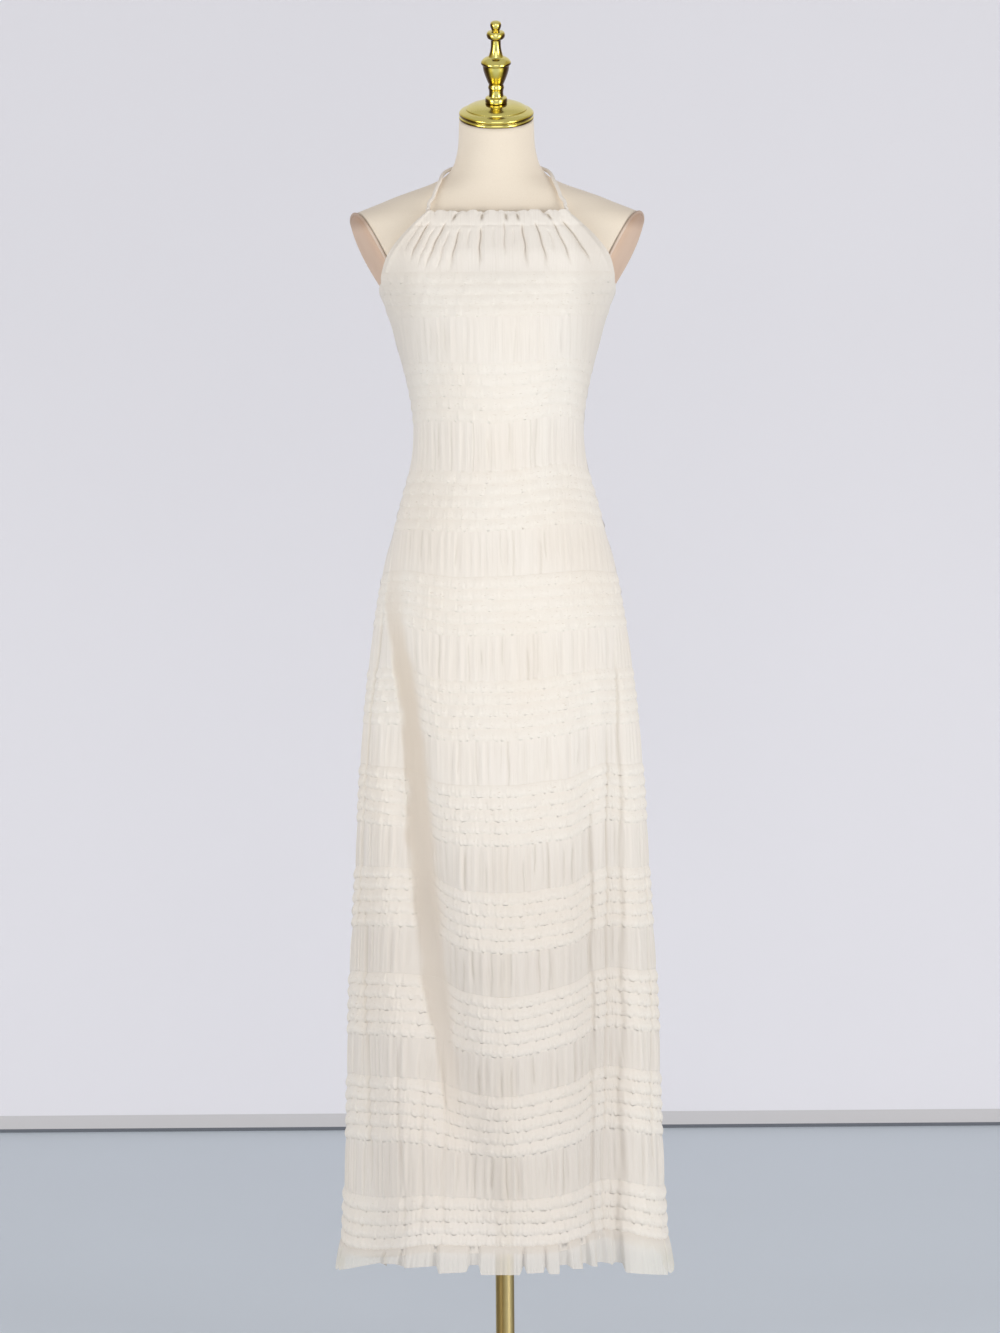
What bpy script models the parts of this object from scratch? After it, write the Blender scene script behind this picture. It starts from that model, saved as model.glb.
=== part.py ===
"""Halter-neck maxi dress worn by a limbless dress form on a round-based stand.

Metres, +Z up. The origin is the centre of the stand base's underside, and the dress faces -Y.
The cloth is a wall whose outer face carries bands of frilled tucks and the gathers between them.
A turn is measured from the centre front: 0 is the front, +90 the side at +X and 180 the back.
"""

import math
from collections import namedtuple

import bmesh
import bpy
import numpy as np
from mathutils import Matrix, Vector

SEAM_GAP = 0.0003  # between pieces that meet

# Cloth
INNER_OFFSET = 0.0013  # from the cloth's middle surface in to its plain inner face
ROOT_OFFSET = 0.0007  # out to the cloth between the frilled tucks
LIP_OFFSET = 0.0040  # out to the lower lip of a tuck
LIP_WAVE = 0.0007  # flutes of a tuck's lip
LIP_UNDERCUT = 0.0014  # height that a lip takes to fall back to the cloth
TUCK_PITCH = 0.0156
GATHER_RISE = 0.0026  # height of the gathers between two bands of tucks
HEM_SEAM = 0.228  # where the hem frill is sewn on

# Outline of the halter front, above the underarm
UNDERARM = 1.476
NECKLINE = 1.585
NECKLINE_HALF_WIDTH = 0.092
NECKLINE_GATHER = 0.0038
CASING_DEPTH = 0.015
CASING_SEAM_SHARE = 0.55  # of the neckline's gather, where the seam flattens it
CHEST_SHARE = 0.9  # of the neckline's gather, half way down to the first tuck
ARMHOLE_BULGE = 1.88  # above 1, the armhole edge runs upright first and leans in towards the neck later
BACK_TOP = 1.474

FRONT_COLUMNS = 28
BACK_COLUMNS = 16
INNER_STEP_BODICE = 0.034
INNER_STEP_SKIRT = 0.060
HIP = 1.09  # the skirt's folds start here
FOLDS_FULL_BY = 0.25  # share of the way from the hip to the hem by which the folds have their full depth
BELOW_HEM_SHARE = 1.1  # how far past the hem's seam the folds go on growing

# Hem frill
FRILL_LENGTH = 0.030
FRILL_SEAM_GAP = 0.0005
FRILL_WAVES = 12  # in each of the front and back strips
FRILL_WAVE_OUT = 0.0075
FRILL_WAVE_IN = 0.0035
FRILL_WAVE_SHAPE = (0.0, 1.0, 1.0, 0.0)  # 1 where a wave's column lies on its crest
FRILL_ROWS = (0.0, 0.45, 1.0)  # shares of the way down the frill

# Neck cord
CORD_RADIUS = 0.0026
CORD_SIDES = 6
CORD_CLEARANCE = 0.0014
CORD_SEAT = 0.0014  # the cord's end lies this far above the neckline

# Dress form
FORM_COLUMNS = 28
FORM_TALL_ROW = 0.05  # rows of the table further apart than this get another ring between them
ARM_PLATE_PLACE = (0.1665, 0.0, 1.530)  # a point of the armhole's plane, at +X
ARM_PLATE_FORWARD = math.radians(24)  # how far the plate turns towards the front
ARM_PLATE_DOWN = math.radians(8)
ARM_PLATE_THICKNESS = 0.009
ARMHOLE_LOWEST = 1.42
NECK_TOP = 1.7075
NECK_TILT = math.radians(18)  # the neck's top slopes down to the front
NECK_CENTRE_Y = -0.004

# Stand
POLE_RADIUS = 0.0125
BASE_RADIUS = 0.165
BASE_THICKNESS = 0.012
BASE_EDGE = 0.003
SOCKET_HEIGHT = 0.045
BASE_SIDES = 36
ROUND_SIDES = 24
FINIAL_SIDES = 16

# Steps of turn and height over which a surface's slope is taken.
SLOPE_TURN = 0.5
SLOPE_HEIGHT = 0.001
SHARP_EDGE = math.radians(35)
MERGE_DISTANCE = 1e-6

Section = namedtuple("Section", "height half_width front back")
Band = namedtuple("Band", "foot tucks")
Fold = namedtuple("Fold", "hip_turn hem_turn half_turn middle_rise hem_rise")
SideLift = namedtuple("SideLift", "height lift")
CordStop = namedtuple("CordStop", "station turn height lift")
Turned = namedtuple("Turned", "along radius")
PlateRing = namedtuple("PlateRing", "scale rise")
Ring = namedtuple("Ring", "height out wave")

# Bands of tucks, each by the lip of its lowest tuck, at the centre front.
TUCK_BANDS = (
    Band(1.444, 4),
    Band(1.305, 5),
    Band(1.164, 5),
    Band(1.024, 5),
    Band(0.887, 5),
    Band(0.753, 5),
    Band(0.616, 5),
    Band(0.482, 5),
    Band(0.354, 5),
    Band(0.237, 4),
)

DRESS_SECTIONS = (
    Section(0.150, 0.2190, 0.172, 0.174),
    Section(0.200, 0.2180, 0.171, 0.173),
    Section(0.360, 0.2100, 0.163, 0.166),
    Section(0.520, 0.2050, 0.152, 0.157),
    Section(0.680, 0.1950, 0.139, 0.147),
    Section(0.840, 0.1860, 0.126, 0.138),
    Section(0.960, 0.1750, 0.115, 0.133),
    Section(1.040, 0.1650, 0.110, 0.128),
    Section(1.120, 0.1510, 0.106, 0.117),
    Section(1.160, 0.1405, 0.102, 0.108),
    Section(1.200, 0.1300, 0.097, 0.098),
    Section(1.240, 0.1190, 0.091, 0.089),
    Section(1.280, 0.1125, 0.088, 0.082),
    Section(1.320, 0.1135, 0.093, 0.082),
    Section(1.360, 0.1205, 0.103, 0.086),
    Section(1.400, 0.1310, 0.115, 0.090),
    Section(1.440, 0.1420, 0.122, 0.094),
    Section(1.480, 0.1580, 0.115, 0.097),
    Section(1.505, 0.1790, 0.106, 0.099),
    Section(1.530, 0.2000, 0.096, 0.099),
    Section(1.560, 0.2130, 0.082, 0.095),
    Section(1.583, 0.2020, 0.072, 0.086),
    Section(1.600, 0.1760, 0.067, 0.078),
)

FORM_SECTIONS = (
    Section(0.808, 0.132, 0.086, 0.098),
    Section(0.900, 0.146, 0.094, 0.112),
    Section(1.000, 0.156, 0.100, 0.121),
    Section(1.080, 0.154, 0.099, 0.115),
    Section(1.160, 0.134, 0.095, 0.100),
    Section(1.240, 0.1125, 0.084, 0.081),
    Section(1.280, 0.1060, 0.081, 0.075),
    Section(1.320, 0.1075, 0.086, 0.075),
    Section(1.380, 0.1195, 0.102, 0.081),
    Section(1.440, 0.1350, 0.115, 0.087),
    Section(1.480, 0.1490, 0.108, 0.091),
    Section(1.505, 0.1710, 0.099, 0.093),
    Section(1.530, 0.1930, 0.089, 0.093),
    Section(1.560, 0.2060, 0.075, 0.089),
    Section(1.575, 0.2030, 0.068, 0.083),
    Section(1.583, 0.1900, 0.0650, 0.078),
    Section(1.590, 0.1730, 0.0620, 0.074),
    Section(1.597, 0.1550, 0.0595, 0.070),
    Section(1.605, 0.1355, 0.0570, 0.066),
    Section(1.613, 0.1130, 0.0550, 0.062),
    Section(1.621, 0.0900, 0.0535, 0.059),
    Section(1.631, 0.0700, 0.0520, 0.055),
    Section(1.645, 0.0580, 0.0505, 0.050),
    Section(1.660, 0.0530, 0.0500, 0.047),
    Section(1.700, 0.0495, 0.0500, 0.045),
    Section(1.740, 0.0485, 0.0500, 0.045),
)

# The skirt's large folds: where each lies at the hip and at the hem, its half width in degrees, and how
# far it stands out half way down the skirt and at the hem. A hollow has a negative rise.
FOLDS = (
    Fold(-58, -6, 12, -0.024, -0.010),
    Fold(-66, -34, 13, 0.007, 0.012),
    Fold(0, 8, 22, 0.005, 0.008),
    Fold(42, 34, 8, -0.010, -0.012),
    Fold(58, 45, 6, -0.012, -0.022),
    Fold(76, 64, 13, 0.006, 0.010),
    Fold(118, 130, 15, -0.014, -0.030),
    Fold(-122, -128, 14, -0.016, -0.032),
    Fold(176, 168, 13, -0.014, -0.034),
    Fold(148, 150, 12, 0.005, 0.008),
    Fold(-150, -150, 13, 0.005, 0.008),
)

# How far the cloth hangs above (or, if negative, below) its height at the centre front, at the sides.
SIDE_LIFTS = (
    SideLift(1.15, 0.000),
    SideLift(0.90, 0.020),
    SideLift(0.65, 0.020),
    SideLift(0.48, 0.008),
    SideLift(0.35, -0.004),
    SideLift(0.23, -0.022),
    SideLift(0.15, -0.028),
)

# The neck cord's route on the form, from one end of the neckline to the nape; the other half mirrors it.
# The lift is extra clearance where the dress holds the cord off the form.
CORD_STOPS = (
    CordStop(0, 27.5, 1.5830, 0.0050),
    CordStop(1, 31.6, 1.5925, 0.0040),
    CordStop(2, 35.5, 1.6030, 0.0012),
    CordStop(3, 44.7, 1.6140, 0.0004),
    CordStop(4, 61.9, 1.6245, 0.0004),
    CordStop(5, 88.0, 1.6340, 0.0004),
    CordStop(6, 118.0, 1.6425, 0.0000),
    CordStop(7, 150.0, 1.6488, 0.0000),
    CordStop(8, 180.0, 1.6515, 0.0000),
)

# The finial's outline, from its top down to the neck cap.
FINIAL_PROFILE = (
    Turned(0.1250, 0.0040),
    Turned(0.1228, 0.0068),
    Turned(0.1160, 0.0073),
    Turned(0.1125, 0.0064),
    Turned(0.1100, 0.0108),
    Turned(0.1062, 0.0120),
    Turned(0.1010, 0.0098),
    Turned(0.0980, 0.0070),
    Turned(0.0885, 0.0070),
    Turned(0.0780, 0.0096),
    Turned(0.0745, 0.0168),
    Turned(0.0700, 0.0197),
    Turned(0.0650, 0.0188),
    Turned(0.0620, 0.0172),
    Turned(0.0525, 0.0145),
    Turned(0.0430, 0.0108),
    Turned(0.0365, 0.0096),
    Turned(0.0240, 0.0100),
    Turned(0.0215, 0.0140),
    Turned(0.0150, 0.0143),
)

# The neck cap's outline, from its crown down to its rim; the rim stands on the neck.
CAP_PROFILE = (
    Turned(0.0128, 0.0165),
    Turned(0.0120, 0.0240),
    Turned(0.0095, 0.0360),
    Turned(0.0030, 0.0455),
    Turned(-0.0010, 0.0490),
    Turned(-0.0060, 0.0496),
    Turned(-0.0090, 0.0480),
)

# The arm plate's rings, from its flat back out: the scale of its outline and the share of its thickness.
ARM_PLATE_RINGS = (
    PlateRing(0.96, 0.0),
    PlateRing(0.96, 0.45),
    PlateRing(0.86, 0.8),
    PlateRing(0.45, 1.0),
)

# The socket's outline outside its bore: how far out of the pole's bore, and how high above the base.
SOCKET_PROFILE = (
    Turned(0.000, 0.0212),
    Turned(0.006, 0.0192),
    Turned(0.012, 0.0050),
    Turned(SOCKET_HEIGHT, 0.0040),
)


def smooth_column(table, column, at, along="height"):
    """Cubic curve through one column of a table, read at the given places along another column."""
    rows = sorted(table, key=lambda row: getattr(row, along))
    x = np.array([getattr(row, along) for row in rows])
    y = np.array([getattr(row, column) for row in rows])
    slope = np.gradient(y, x)
    h = np.clip(at, x[0], x[-1])
    i = np.clip(np.searchsorted(x, h, side="right") - 1, 0, len(x) - 2)
    span = x[i + 1] - x[i]
    s = (h - x[i]) / span
    start = (1 + 2 * s) * (1 - s) ** 2 * y[i] + s * (1 - s) ** 2 * span * slope[i]
    end = s * s * (3 - 2 * s) * y[i + 1] + s * s * (s - 1) * span * slope[i + 1]
    return start + end


def ease(x):
    """Smooth step from 0 to 1."""
    x = np.clip(x, 0, 1)
    return x * x * (3 - 2 * x)


def section_point(table, turn, height, rise=0.0):
    """Points on the rounded section of a table: x from the half width, y from the front or back depth."""
    angle = np.radians(turn)
    deep = np.where(
        np.cos(angle) > 0,
        smooth_column(table, "front", height),
        smooth_column(table, "back", height),
    )
    x = (smooth_column(table, "half_width", height) + rise) * np.sin(angle)
    y = -(deep + rise) * np.cos(angle)
    return np.stack([x, y, height + 0 * x], axis=-1)


def fold_rise(turn, height):
    """How far the skirt's large folds push the cloth out, on a parabola through the hip, middle and hem."""
    down = np.clip((HIP - height) / (HIP - HEM_SEAM), 0, BELOW_HEM_SHARE)
    begun = ease(down / FOLDS_FULL_BY)
    middle, hem = 4 * down * (1 - down), down * (2 * down - 1)
    rise = 0.0 * turn
    for fold in FOLDS:
        centre = fold.hip_turn + (fold.hem_turn - fold.hip_turn) * down
        away = (turn - centre + 180) % 360 - 180
        depth = fold.middle_rise * middle + fold.hem_rise * hem
        rise = rise + begun * depth * np.exp(-((away / fold.half_turn) ** 2))
    return rise


def cloth(turn, height):
    """The cloth's middle surface."""
    turn, height = np.broadcast_arrays(np.asarray(turn, float), np.asarray(height, float))
    point = section_point(DRESS_SECTIONS, turn, height, fold_rise(turn, height))
    side = np.abs(np.sin(np.radians(turn))) ** 3
    point[..., 2] += smooth_column(SIDE_LIFTS, "lift", height) * side
    return point


def form(turn, height):
    """The dress form's surface."""
    turn, height = np.broadcast_arrays(np.asarray(turn, float), np.asarray(height, float))
    return section_point(FORM_SECTIONS, turn, height)


def unit(vectors):
    return vectors / np.linalg.norm(vectors, axis=-1, keepdims=True)


def outward(surface, turn, height):
    """Unit normals of a surface, from its slopes along the turn and up the height."""
    around = surface(turn + SLOPE_TURN, height) - surface(turn - SLOPE_TURN, height)
    up = surface(turn, height + SLOPE_HEIGHT) - surface(turn, height - SLOPE_HEIGHT)
    return unit(np.cross(around, up))


def on_form(turn, height, out):
    """Points of the dress form, moved out along its normals."""
    return form(turn, height) + out * outward(form, turn, height)


def on_cloth(turn, height, out):
    """Points of the cloth, moved out level, so that a ring stays at its own height."""
    height = np.full(np.shape(turn), height)
    around = cloth(turn + SLOPE_TURN, height) - cloth(turn - SLOPE_TURN, height)
    level = np.stack([around[..., 1], -around[..., 0], 0 * around[..., 0]], axis=-1)
    return cloth(turn, height) + (out + 0.0 * turn)[..., None] * unit(level)


def neckline_share(height):
    """0 at the underarm and below, 1 at the neckline."""
    return np.clip((height - UNDERARM) / (NECKLINE - UNDERARM), 0, 1)


def front_edge_turn(height):
    """Turn of the front panel's edge: the side seam, then above the underarm the armhole."""
    half_width = smooth_column(DRESS_SECTIONS, "half_width", height)
    narrowed = neckline_share(height) ** ARMHOLE_BULGE
    start = float(smooth_column(DRESS_SECTIONS, "half_width", UNDERARM))
    edge = start + (NECKLINE_HALF_WIDTH - start) * narrowed
    armhole = np.degrees(np.arcsin(np.clip(edge / half_width, 0, 1)))
    gap = np.degrees(SEAM_GAP / 2 / smooth_column(DRESS_SECTIONS, "front", height))
    return np.where(height > UNDERARM, np.minimum(armhole, 90 - gap), 90 - gap)


def tuck_rings(band, top):
    """The rings of one band of tucks, from its top down: each tuck runs out to its lip and falls back."""
    rings = []
    for k in reversed(range(band.tucks)):
        lip = band.foot + TUCK_PITCH * k
        if lip > top - TUCK_PITCH / 2:
            continue
        root = min(lip + TUCK_PITCH - LIP_UNDERCUT, top)
        rings.append(Ring(root, ROOT_OFFSET, 0.0 if rings else GATHER_RISE))
        rings.append(Ring(lip, LIP_OFFSET, LIP_WAVE))
    rings.append(Ring(band.foot - LIP_UNDERCUT, ROOT_OFFSET, GATHER_RISE))
    return rings


def panel_rings(top):
    """All the outer rings of a panel's bands, from the top down, with the gathers running between bands."""
    rings = []
    for band in TUCK_BANDS:
        below = tuck_rings(band, top)
        if rings and below[0].height > HIP:
            middle = (rings[-1].height + below[0].height) / 2
            rings.append(Ring(middle, ROOT_OFFSET, GATHER_RISE))
        rings += below
    rings.append(Ring(HEM_SEAM, ROOT_OFFSET, 0.0))
    return rings


def halter_rings():
    """The front panel's rings above its first band: the neckline, the casing's seam and the chest."""
    first = TUCK_BANDS[0].foot + TUCK_PITCH * TUCK_BANDS[0].tucks
    below_casing = NECKLINE - CASING_DEPTH
    return [
        Ring(NECKLINE, ROOT_OFFSET, NECKLINE_GATHER),
        Ring(below_casing, ROOT_OFFSET, NECKLINE_GATHER * CASING_SEAM_SHARE),
        Ring((below_casing + first) / 2, ROOT_OFFSET, NECKLINE_GATHER * CHEST_SHARE),
    ]


def inner_heights(rings):
    """Heights for the plain inner face: fewer than the outer rings, closer where the body curves."""
    kept = [rings[0].height]
    for ring in rings[1:-1]:
        step = INNER_STEP_BODICE if ring.height > HIP else INNER_STEP_SKIRT
        step = 0.0 if ring.height > UNDERARM - TUCK_PITCH else step
        if kept[-1] - ring.height >= step:
            kept.append(ring.height)
    return kept + [rings[-1].height]


def add_object(name, bm, paint, smooth=False):
    """Makes one named object from a bmesh."""
    bmesh.ops.remove_doubles(bm, verts=bm.verts, dist=MERGE_DISTANCE)
    bmesh.ops.recalc_face_normals(bm, faces=bm.faces)
    mesh = bpy.data.meshes.new(name)
    bm.to_mesh(mesh)
    bm.free()
    if smooth:
        mesh.shade_smooth()
        mesh.set_sharp_from_angle(angle=SHARP_EDGE)
    mesh.materials.append(paint)
    made = bpy.data.objects.new(name, mesh)
    bpy.context.scene.collection.objects.link(made)
    return made


def material(name, colour, roughness, metallic=0.0):
    made = bpy.data.materials.new(name)
    made.use_nodes = True
    shader = made.node_tree.nodes["Principled BSDF"]
    shader.inputs["Base Color"].default_value = (*colour, 1.0)
    shader.inputs["Roughness"].default_value = roughness
    shader.inputs["Metallic"].default_value = metallic
    return made


def grid(bm, points):
    """Vertices and quads of a grid of points (rings, columns, 3). Returns the rows of vertices."""
    rows = [[bm.verts.new(p) for p in ring] for ring in points]
    for upper, lower in zip(rows, rows[1:]):
        for i in range(len(upper) - 1):
            bm.faces.new((upper[i], lower[i], lower[i + 1], upper[i + 1]))
    return rows


def zip_edges(bm, first, second):
    """Triangles between two chains of vertices that run the same way, however many each has."""
    i = j = 0
    while i < len(first) - 1 or j < len(second) - 1:
        next_first = (
            (first[i + 1].co - second[j].co).length if i < len(first) - 1 else math.inf
        )
        next_second = (
            (second[j + 1].co - first[i].co).length if j < len(second) - 1 else math.inf
        )
        if next_first <= next_second:
            bm.faces.new((first[i], first[i + 1], second[j]))
            i += 1
        else:
            bm.faces.new((first[i], second[j + 1], second[j]))
            j += 1


def wall(name, outer_points, inner_points, paint):
    """A closed wall between an outer and an inner grid, joined along their four edges."""
    bm = bmesh.new()
    outer, inner = grid(bm, outer_points), grid(bm, inner_points)
    zip_edges(bm, outer[0], inner[0])
    zip_edges(bm, outer[-1], inner[-1])
    for side in (0, -1):
        zip_edges(bm, [row[side] for row in outer], [row[side] for row in inner])
    return add_object(name, bm, paint)


def panel(name, rings, turns_at, paint):
    """A cloth panel. turns_at(height) gives each column's turn; every other column carries a gather."""

    def ring_points(height, out, wave):
        turns = turns_at(height)
        ridge = np.where(np.arange(len(turns)) % 2 == 1, 1.0, 0.0)
        ridge[[0, -1]] = 0.0
        return on_cloth(turns, height, out + wave * ridge)

    outer = [ring_points(*ring) for ring in rings]
    inner = [ring_points(height, -INNER_OFFSET, 0.0) for height in inner_heights(rings)]
    return wall(name, outer, inner, paint)


def front_turns(height):
    edge = float(front_edge_turn(np.array(height)))
    return np.linspace(-edge, edge, FRONT_COLUMNS + 1)


def back_turns(height):
    gap = math.degrees(SEAM_GAP / 2 / float(smooth_column(DRESS_SECTIONS, "back", height)))
    return np.linspace(90 + gap, 270 - gap, BACK_COLUMNS + 1)


def make_panels(paint):
    panel("dress_front", halter_rings() + panel_rings(NECKLINE), front_turns, paint)
    back_rings = panel_rings(BACK_TOP)
    panel("dress_back", back_rings, back_turns, paint)


def hem_frill(name, start, end, paint):
    """A strip of box-shaped waves sewn under the last tuck. Each wave has a hollow and a flat crest."""
    columns = FRILL_WAVES * len(FRILL_WAVE_SHAPE)
    turns = np.linspace(start, end, columns + 1)
    crest = np.resize(FRILL_WAVE_SHAPE, columns + 1)
    push = np.where(crest > 0, FRILL_WAVE_OUT, -FRILL_WAVE_IN)
    top = HEM_SEAM - FRILL_SEAM_GAP

    def strip(out):
        return [on_cloth(turns, top - FRILL_LENGTH * row, out + push * row) for row in FRILL_ROWS]

    return wall(name, strip(ROOT_OFFSET), strip(-INNER_OFFSET), paint)


def make_hem_frills(paint):
    gap = math.degrees(SEAM_GAP / 2 / DRESS_SECTIONS[0].front)
    hem_frill("hem_frill_front", -90 + gap, 90 - gap, paint)
    hem_frill("hem_frill_back", 90 + gap, 270 - gap, paint)


def tube(name, line, radius, sides, paint):
    """A closed tube along a line of points."""
    bm = bmesh.new()
    loops = []
    for i, centre in enumerate(line):
        ahead = Vector(line[min(i + 1, len(line) - 1)]) - Vector(line[max(i - 1, 0)])
        ahead.normalize()
        side = ahead.cross(Vector((0, 0, 1))).normalized()
        up = side.cross(ahead)
        loop = [
            bm.verts.new(Vector(centre) + radius * (math.cos(a) * side + math.sin(a) * up))
            for a in (2 * math.pi * k / sides for k in range(sides))
        ]
        loops.append(loop)
    for a, b in zip(loops, loops[1:]):
        for k in range(sides):
            n = (k + 1) % sides
            bm.faces.new((a[k], a[n], b[n], b[k]))
    bm.faces.new(loops[0])
    bm.faces.new(loops[-1])
    return add_object(name, bm, paint, smooth=True)


def neck_cord_line():
    """The cord's centreline: from one end of the neckline, over the shoulder, round the nape and back."""
    last = CORD_STOPS[-1].station
    stations = np.linspace(0, 2 * last, 4 * last + 1)
    half = np.minimum(stations, 2 * last - stations)
    turns, heights, lifts = (
        smooth_column(CORD_STOPS, column, half, "station") for column in ("turn", "height", "lift")
    )
    turns = np.where(stations > last, 360 - turns, turns)
    line = on_form(turns, heights, (CORD_RADIUS + CORD_CLEARANCE + lifts)[:, None])
    line[0] = on_cloth(turns[:1], NECKLINE, 0.0)[0]
    line[-1] = on_cloth(turns[-1:], NECKLINE, 0.0)[0]
    line[[0, -1], 2] += CORD_SEAT
    return line


def make_neck_cord(paint):
    tube("neck_cord", neck_cord_line(), CORD_RADIUS, CORD_SIDES, paint)


def cut_flat(bm, point, normal, inside=lambda place: True):
    """Cuts part of a closed mesh by a plane and closes the cut. Returns the cut's points in order."""
    verts = [v for v in bm.verts if inside(v.co)]
    chosen = set(verts)
    edges = [e for e in bm.edges if all(v in chosen for v in e.verts)]
    faces = [f for f in bm.faces if all(v in chosen for v in f.verts)]
    made = bmesh.ops.bisect_plane(
        bm, geom=verts + edges + faces, plane_co=point, plane_no=normal, clear_outer=True
    )
    rim = [e for e in made["geom_cut"] if isinstance(e, bmesh.types.BMEdge)]
    face = bmesh.ops.contextual_create(bm, geom=rim)["faces"][0]
    return [v.co.copy() for v in face.verts]


def arm_plate_normal(side):
    across = math.cos(ARM_PLATE_DOWN) * math.cos(ARM_PLATE_FORWARD)
    forward = math.cos(ARM_PLATE_DOWN) * math.sin(ARM_PLATE_FORWARD)
    return Vector((side * across, -forward, -math.sin(ARM_PLATE_DOWN)))


def make_form(linen, plate_paint):
    """The torso with its neck, cut flat at the neck and the two armholes, and a plate on each armhole."""
    listed = [row.height for row in FORM_SECTIONS]
    between = [(a + b) / 2 for a, b in zip(listed, listed[1:]) if b - a > FORM_TALL_ROW]
    turns = np.linspace(0, 360, FORM_COLUMNS, endpoint=False)
    bm = bmesh.new()
    rings = [
        [bm.verts.new(p) for p in form(turns, np.full(len(turns), h))]
        for h in sorted(listed + between)
    ]
    for lower, upper in zip(rings, rings[1:]):
        for k in range(FORM_COLUMNS):
            n = (k + 1) % FORM_COLUMNS
            bm.faces.new((lower[k], lower[n], upper[n], upper[k]))
    bm.faces.new(rings[0])
    bm.faces.new(rings[-1])
    cut_flat(bm, neck_centre(), neck_axis())
    outlines = {}
    for side in (1, -1):
        x, y, z = ARM_PLATE_PLACE
        outlines[side] = cut_flat(
            bm,
            Vector((side * x, y, z)),
            arm_plate_normal(side),
            lambda place: place.z > ARMHOLE_LOWEST and place.x * side > 0,
        )
    add_object("form_torso", bm, linen, smooth=True)
    for side, name in ((1, "form_arm_plate_left"), (-1, "form_arm_plate_right")):
        make_arm_plate(name, outlines[side], arm_plate_normal(side), plate_paint)


def make_arm_plate(name, outline, normal, paint):
    """A shallow domed plate whose outline is the armhole's own, one seam gap off the torso."""
    centre = sum(outline, Vector()) / len(outline)
    bm = bmesh.new()
    rings = []
    for scale, rise in ARM_PLATE_RINGS:
        lift = SEAM_GAP + rise * ARM_PLATE_THICKNESS
        rings.append([bm.verts.new(centre + (p - centre) * scale + normal * lift) for p in outline])
    count = len(outline)
    for a, b in zip(rings, rings[1:]):
        for k in range(count):
            n = (k + 1) % count
            bm.faces.new((a[k], a[n], b[n], b[k]))
    bm.faces.new(rings[0])
    bm.faces.new(rings[-1])
    return add_object(name, bm, paint, smooth=True)


def neck_axis():
    """The direction that the neck's flat top faces: up and a little forward."""
    return Vector((0, -math.sin(NECK_TILT), math.cos(NECK_TILT)))


def neck_centre():
    return Vector((0, NECK_CENTRE_Y, NECK_TOP))


def turned(name, profile, base, axis, paint, sides):
    """A piece turned round an axis, from a profile listed from its top down, closed flat at both ends."""
    bm = bmesh.new()
    turn = axis.to_track_quat("Z", "Y").to_matrix().to_4x4()
    place = Matrix.Translation(base) @ turn
    rings = []
    for point in profile:
        ring = []
        for k in range(sides):
            a = 2 * math.pi * k / sides
            local = Vector((point.radius * math.cos(a), point.radius * math.sin(a), point.along))
            ring.append(bm.verts.new(place @ local))
        rings.append(ring)
    for a, b in zip(rings, rings[1:]):
        for k in range(sides):
            n = (k + 1) % sides
            bm.faces.new((a[k], b[k], b[n], a[n]))
    bm.faces.new(rings[0])
    bm.faces.new(rings[-1])
    return add_object(name, bm, paint, smooth=True)


def make_cap_and_finial(brass):
    """The neck cap stands on the neck's flat top, and the finial on the cap's crown."""
    foot = CAP_PROFILE[-1].along
    base = neck_centre() + neck_axis() * (SEAM_GAP - foot)
    turned("form_neck_cap", CAP_PROFILE, base, neck_axis(), brass, ROUND_SIDES)
    crown = CAP_PROFILE[0].along
    lift = crown + SEAM_GAP - FINIAL_PROFILE[-1].along
    finial_base = base + neck_axis() * lift
    turned("form_finial", FINIAL_PROFILE, finial_base, neck_axis(), brass, FINIAL_SIDES)


def make_stand(brass):
    """The round base, the socket on it, and the pole, which ends just under the form."""
    up = Vector((0, 0, 1))
    base = (
        Turned(BASE_THICKNESS, BASE_RADIUS - BASE_EDGE),
        Turned(BASE_THICKNESS - BASE_EDGE, BASE_RADIUS),
        Turned(0.0, BASE_RADIUS),
    )
    turned("stand_base", base, Vector(), up, brass, BASE_SIDES)
    floor = BASE_THICKNESS + SEAM_GAP
    make_socket(floor, brass)
    pole_top = FORM_SECTIONS[0].height - SEAM_GAP
    pole = (Turned(pole_top, POLE_RADIUS), Turned(floor, POLE_RADIUS))
    turned("stand_pole", pole, Vector(), up, brass, ROUND_SIDES)


def make_socket(floor, brass):
    """The collar on the base that the pole stands in."""
    bore = POLE_RADIUS + SEAM_GAP
    outer = [(bore + step.radius, floor + step.along) for step in SOCKET_PROFILE]
    outline = [(bore, floor)] + outer + [(bore, floor + SOCKET_HEIGHT)]
    bm = bmesh.new()
    rings = []
    for k in range(ROUND_SIDES):
        a = 2 * math.pi * k / ROUND_SIDES
        rings.append([bm.verts.new((r * math.cos(a), r * math.sin(a), z)) for r, z in outline])
    for k in range(ROUND_SIDES):
        here, there = rings[k], rings[(k + 1) % ROUND_SIDES]
        for i in range(len(outline)):
            j = (i + 1) % len(outline)
            bm.faces.new((here[i], here[j], there[j], there[i]))
    return add_object("stand_socket", bm, brass, smooth=True)


def main():
    for old in list(bpy.data.objects):
        bpy.data.objects.remove(old)
    ivory = material("crinkled_ivory_cloth", (0.80, 0.76, 0.69), 0.85)
    linen = material("beige_form_cloth", (0.72, 0.60, 0.48), 0.8)
    plate = material("blush_form_cloth", (0.73, 0.55, 0.45), 0.75)
    brass = material("polished_brass", (0.75, 0.58, 0.20), 0.15, 1.0)
    make_panels(ivory)
    make_hem_frills(ivory)
    make_neck_cord(ivory)
    make_form(linen, plate)
    make_cap_and_finial(brass)
    make_stand(brass)


main()
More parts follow.
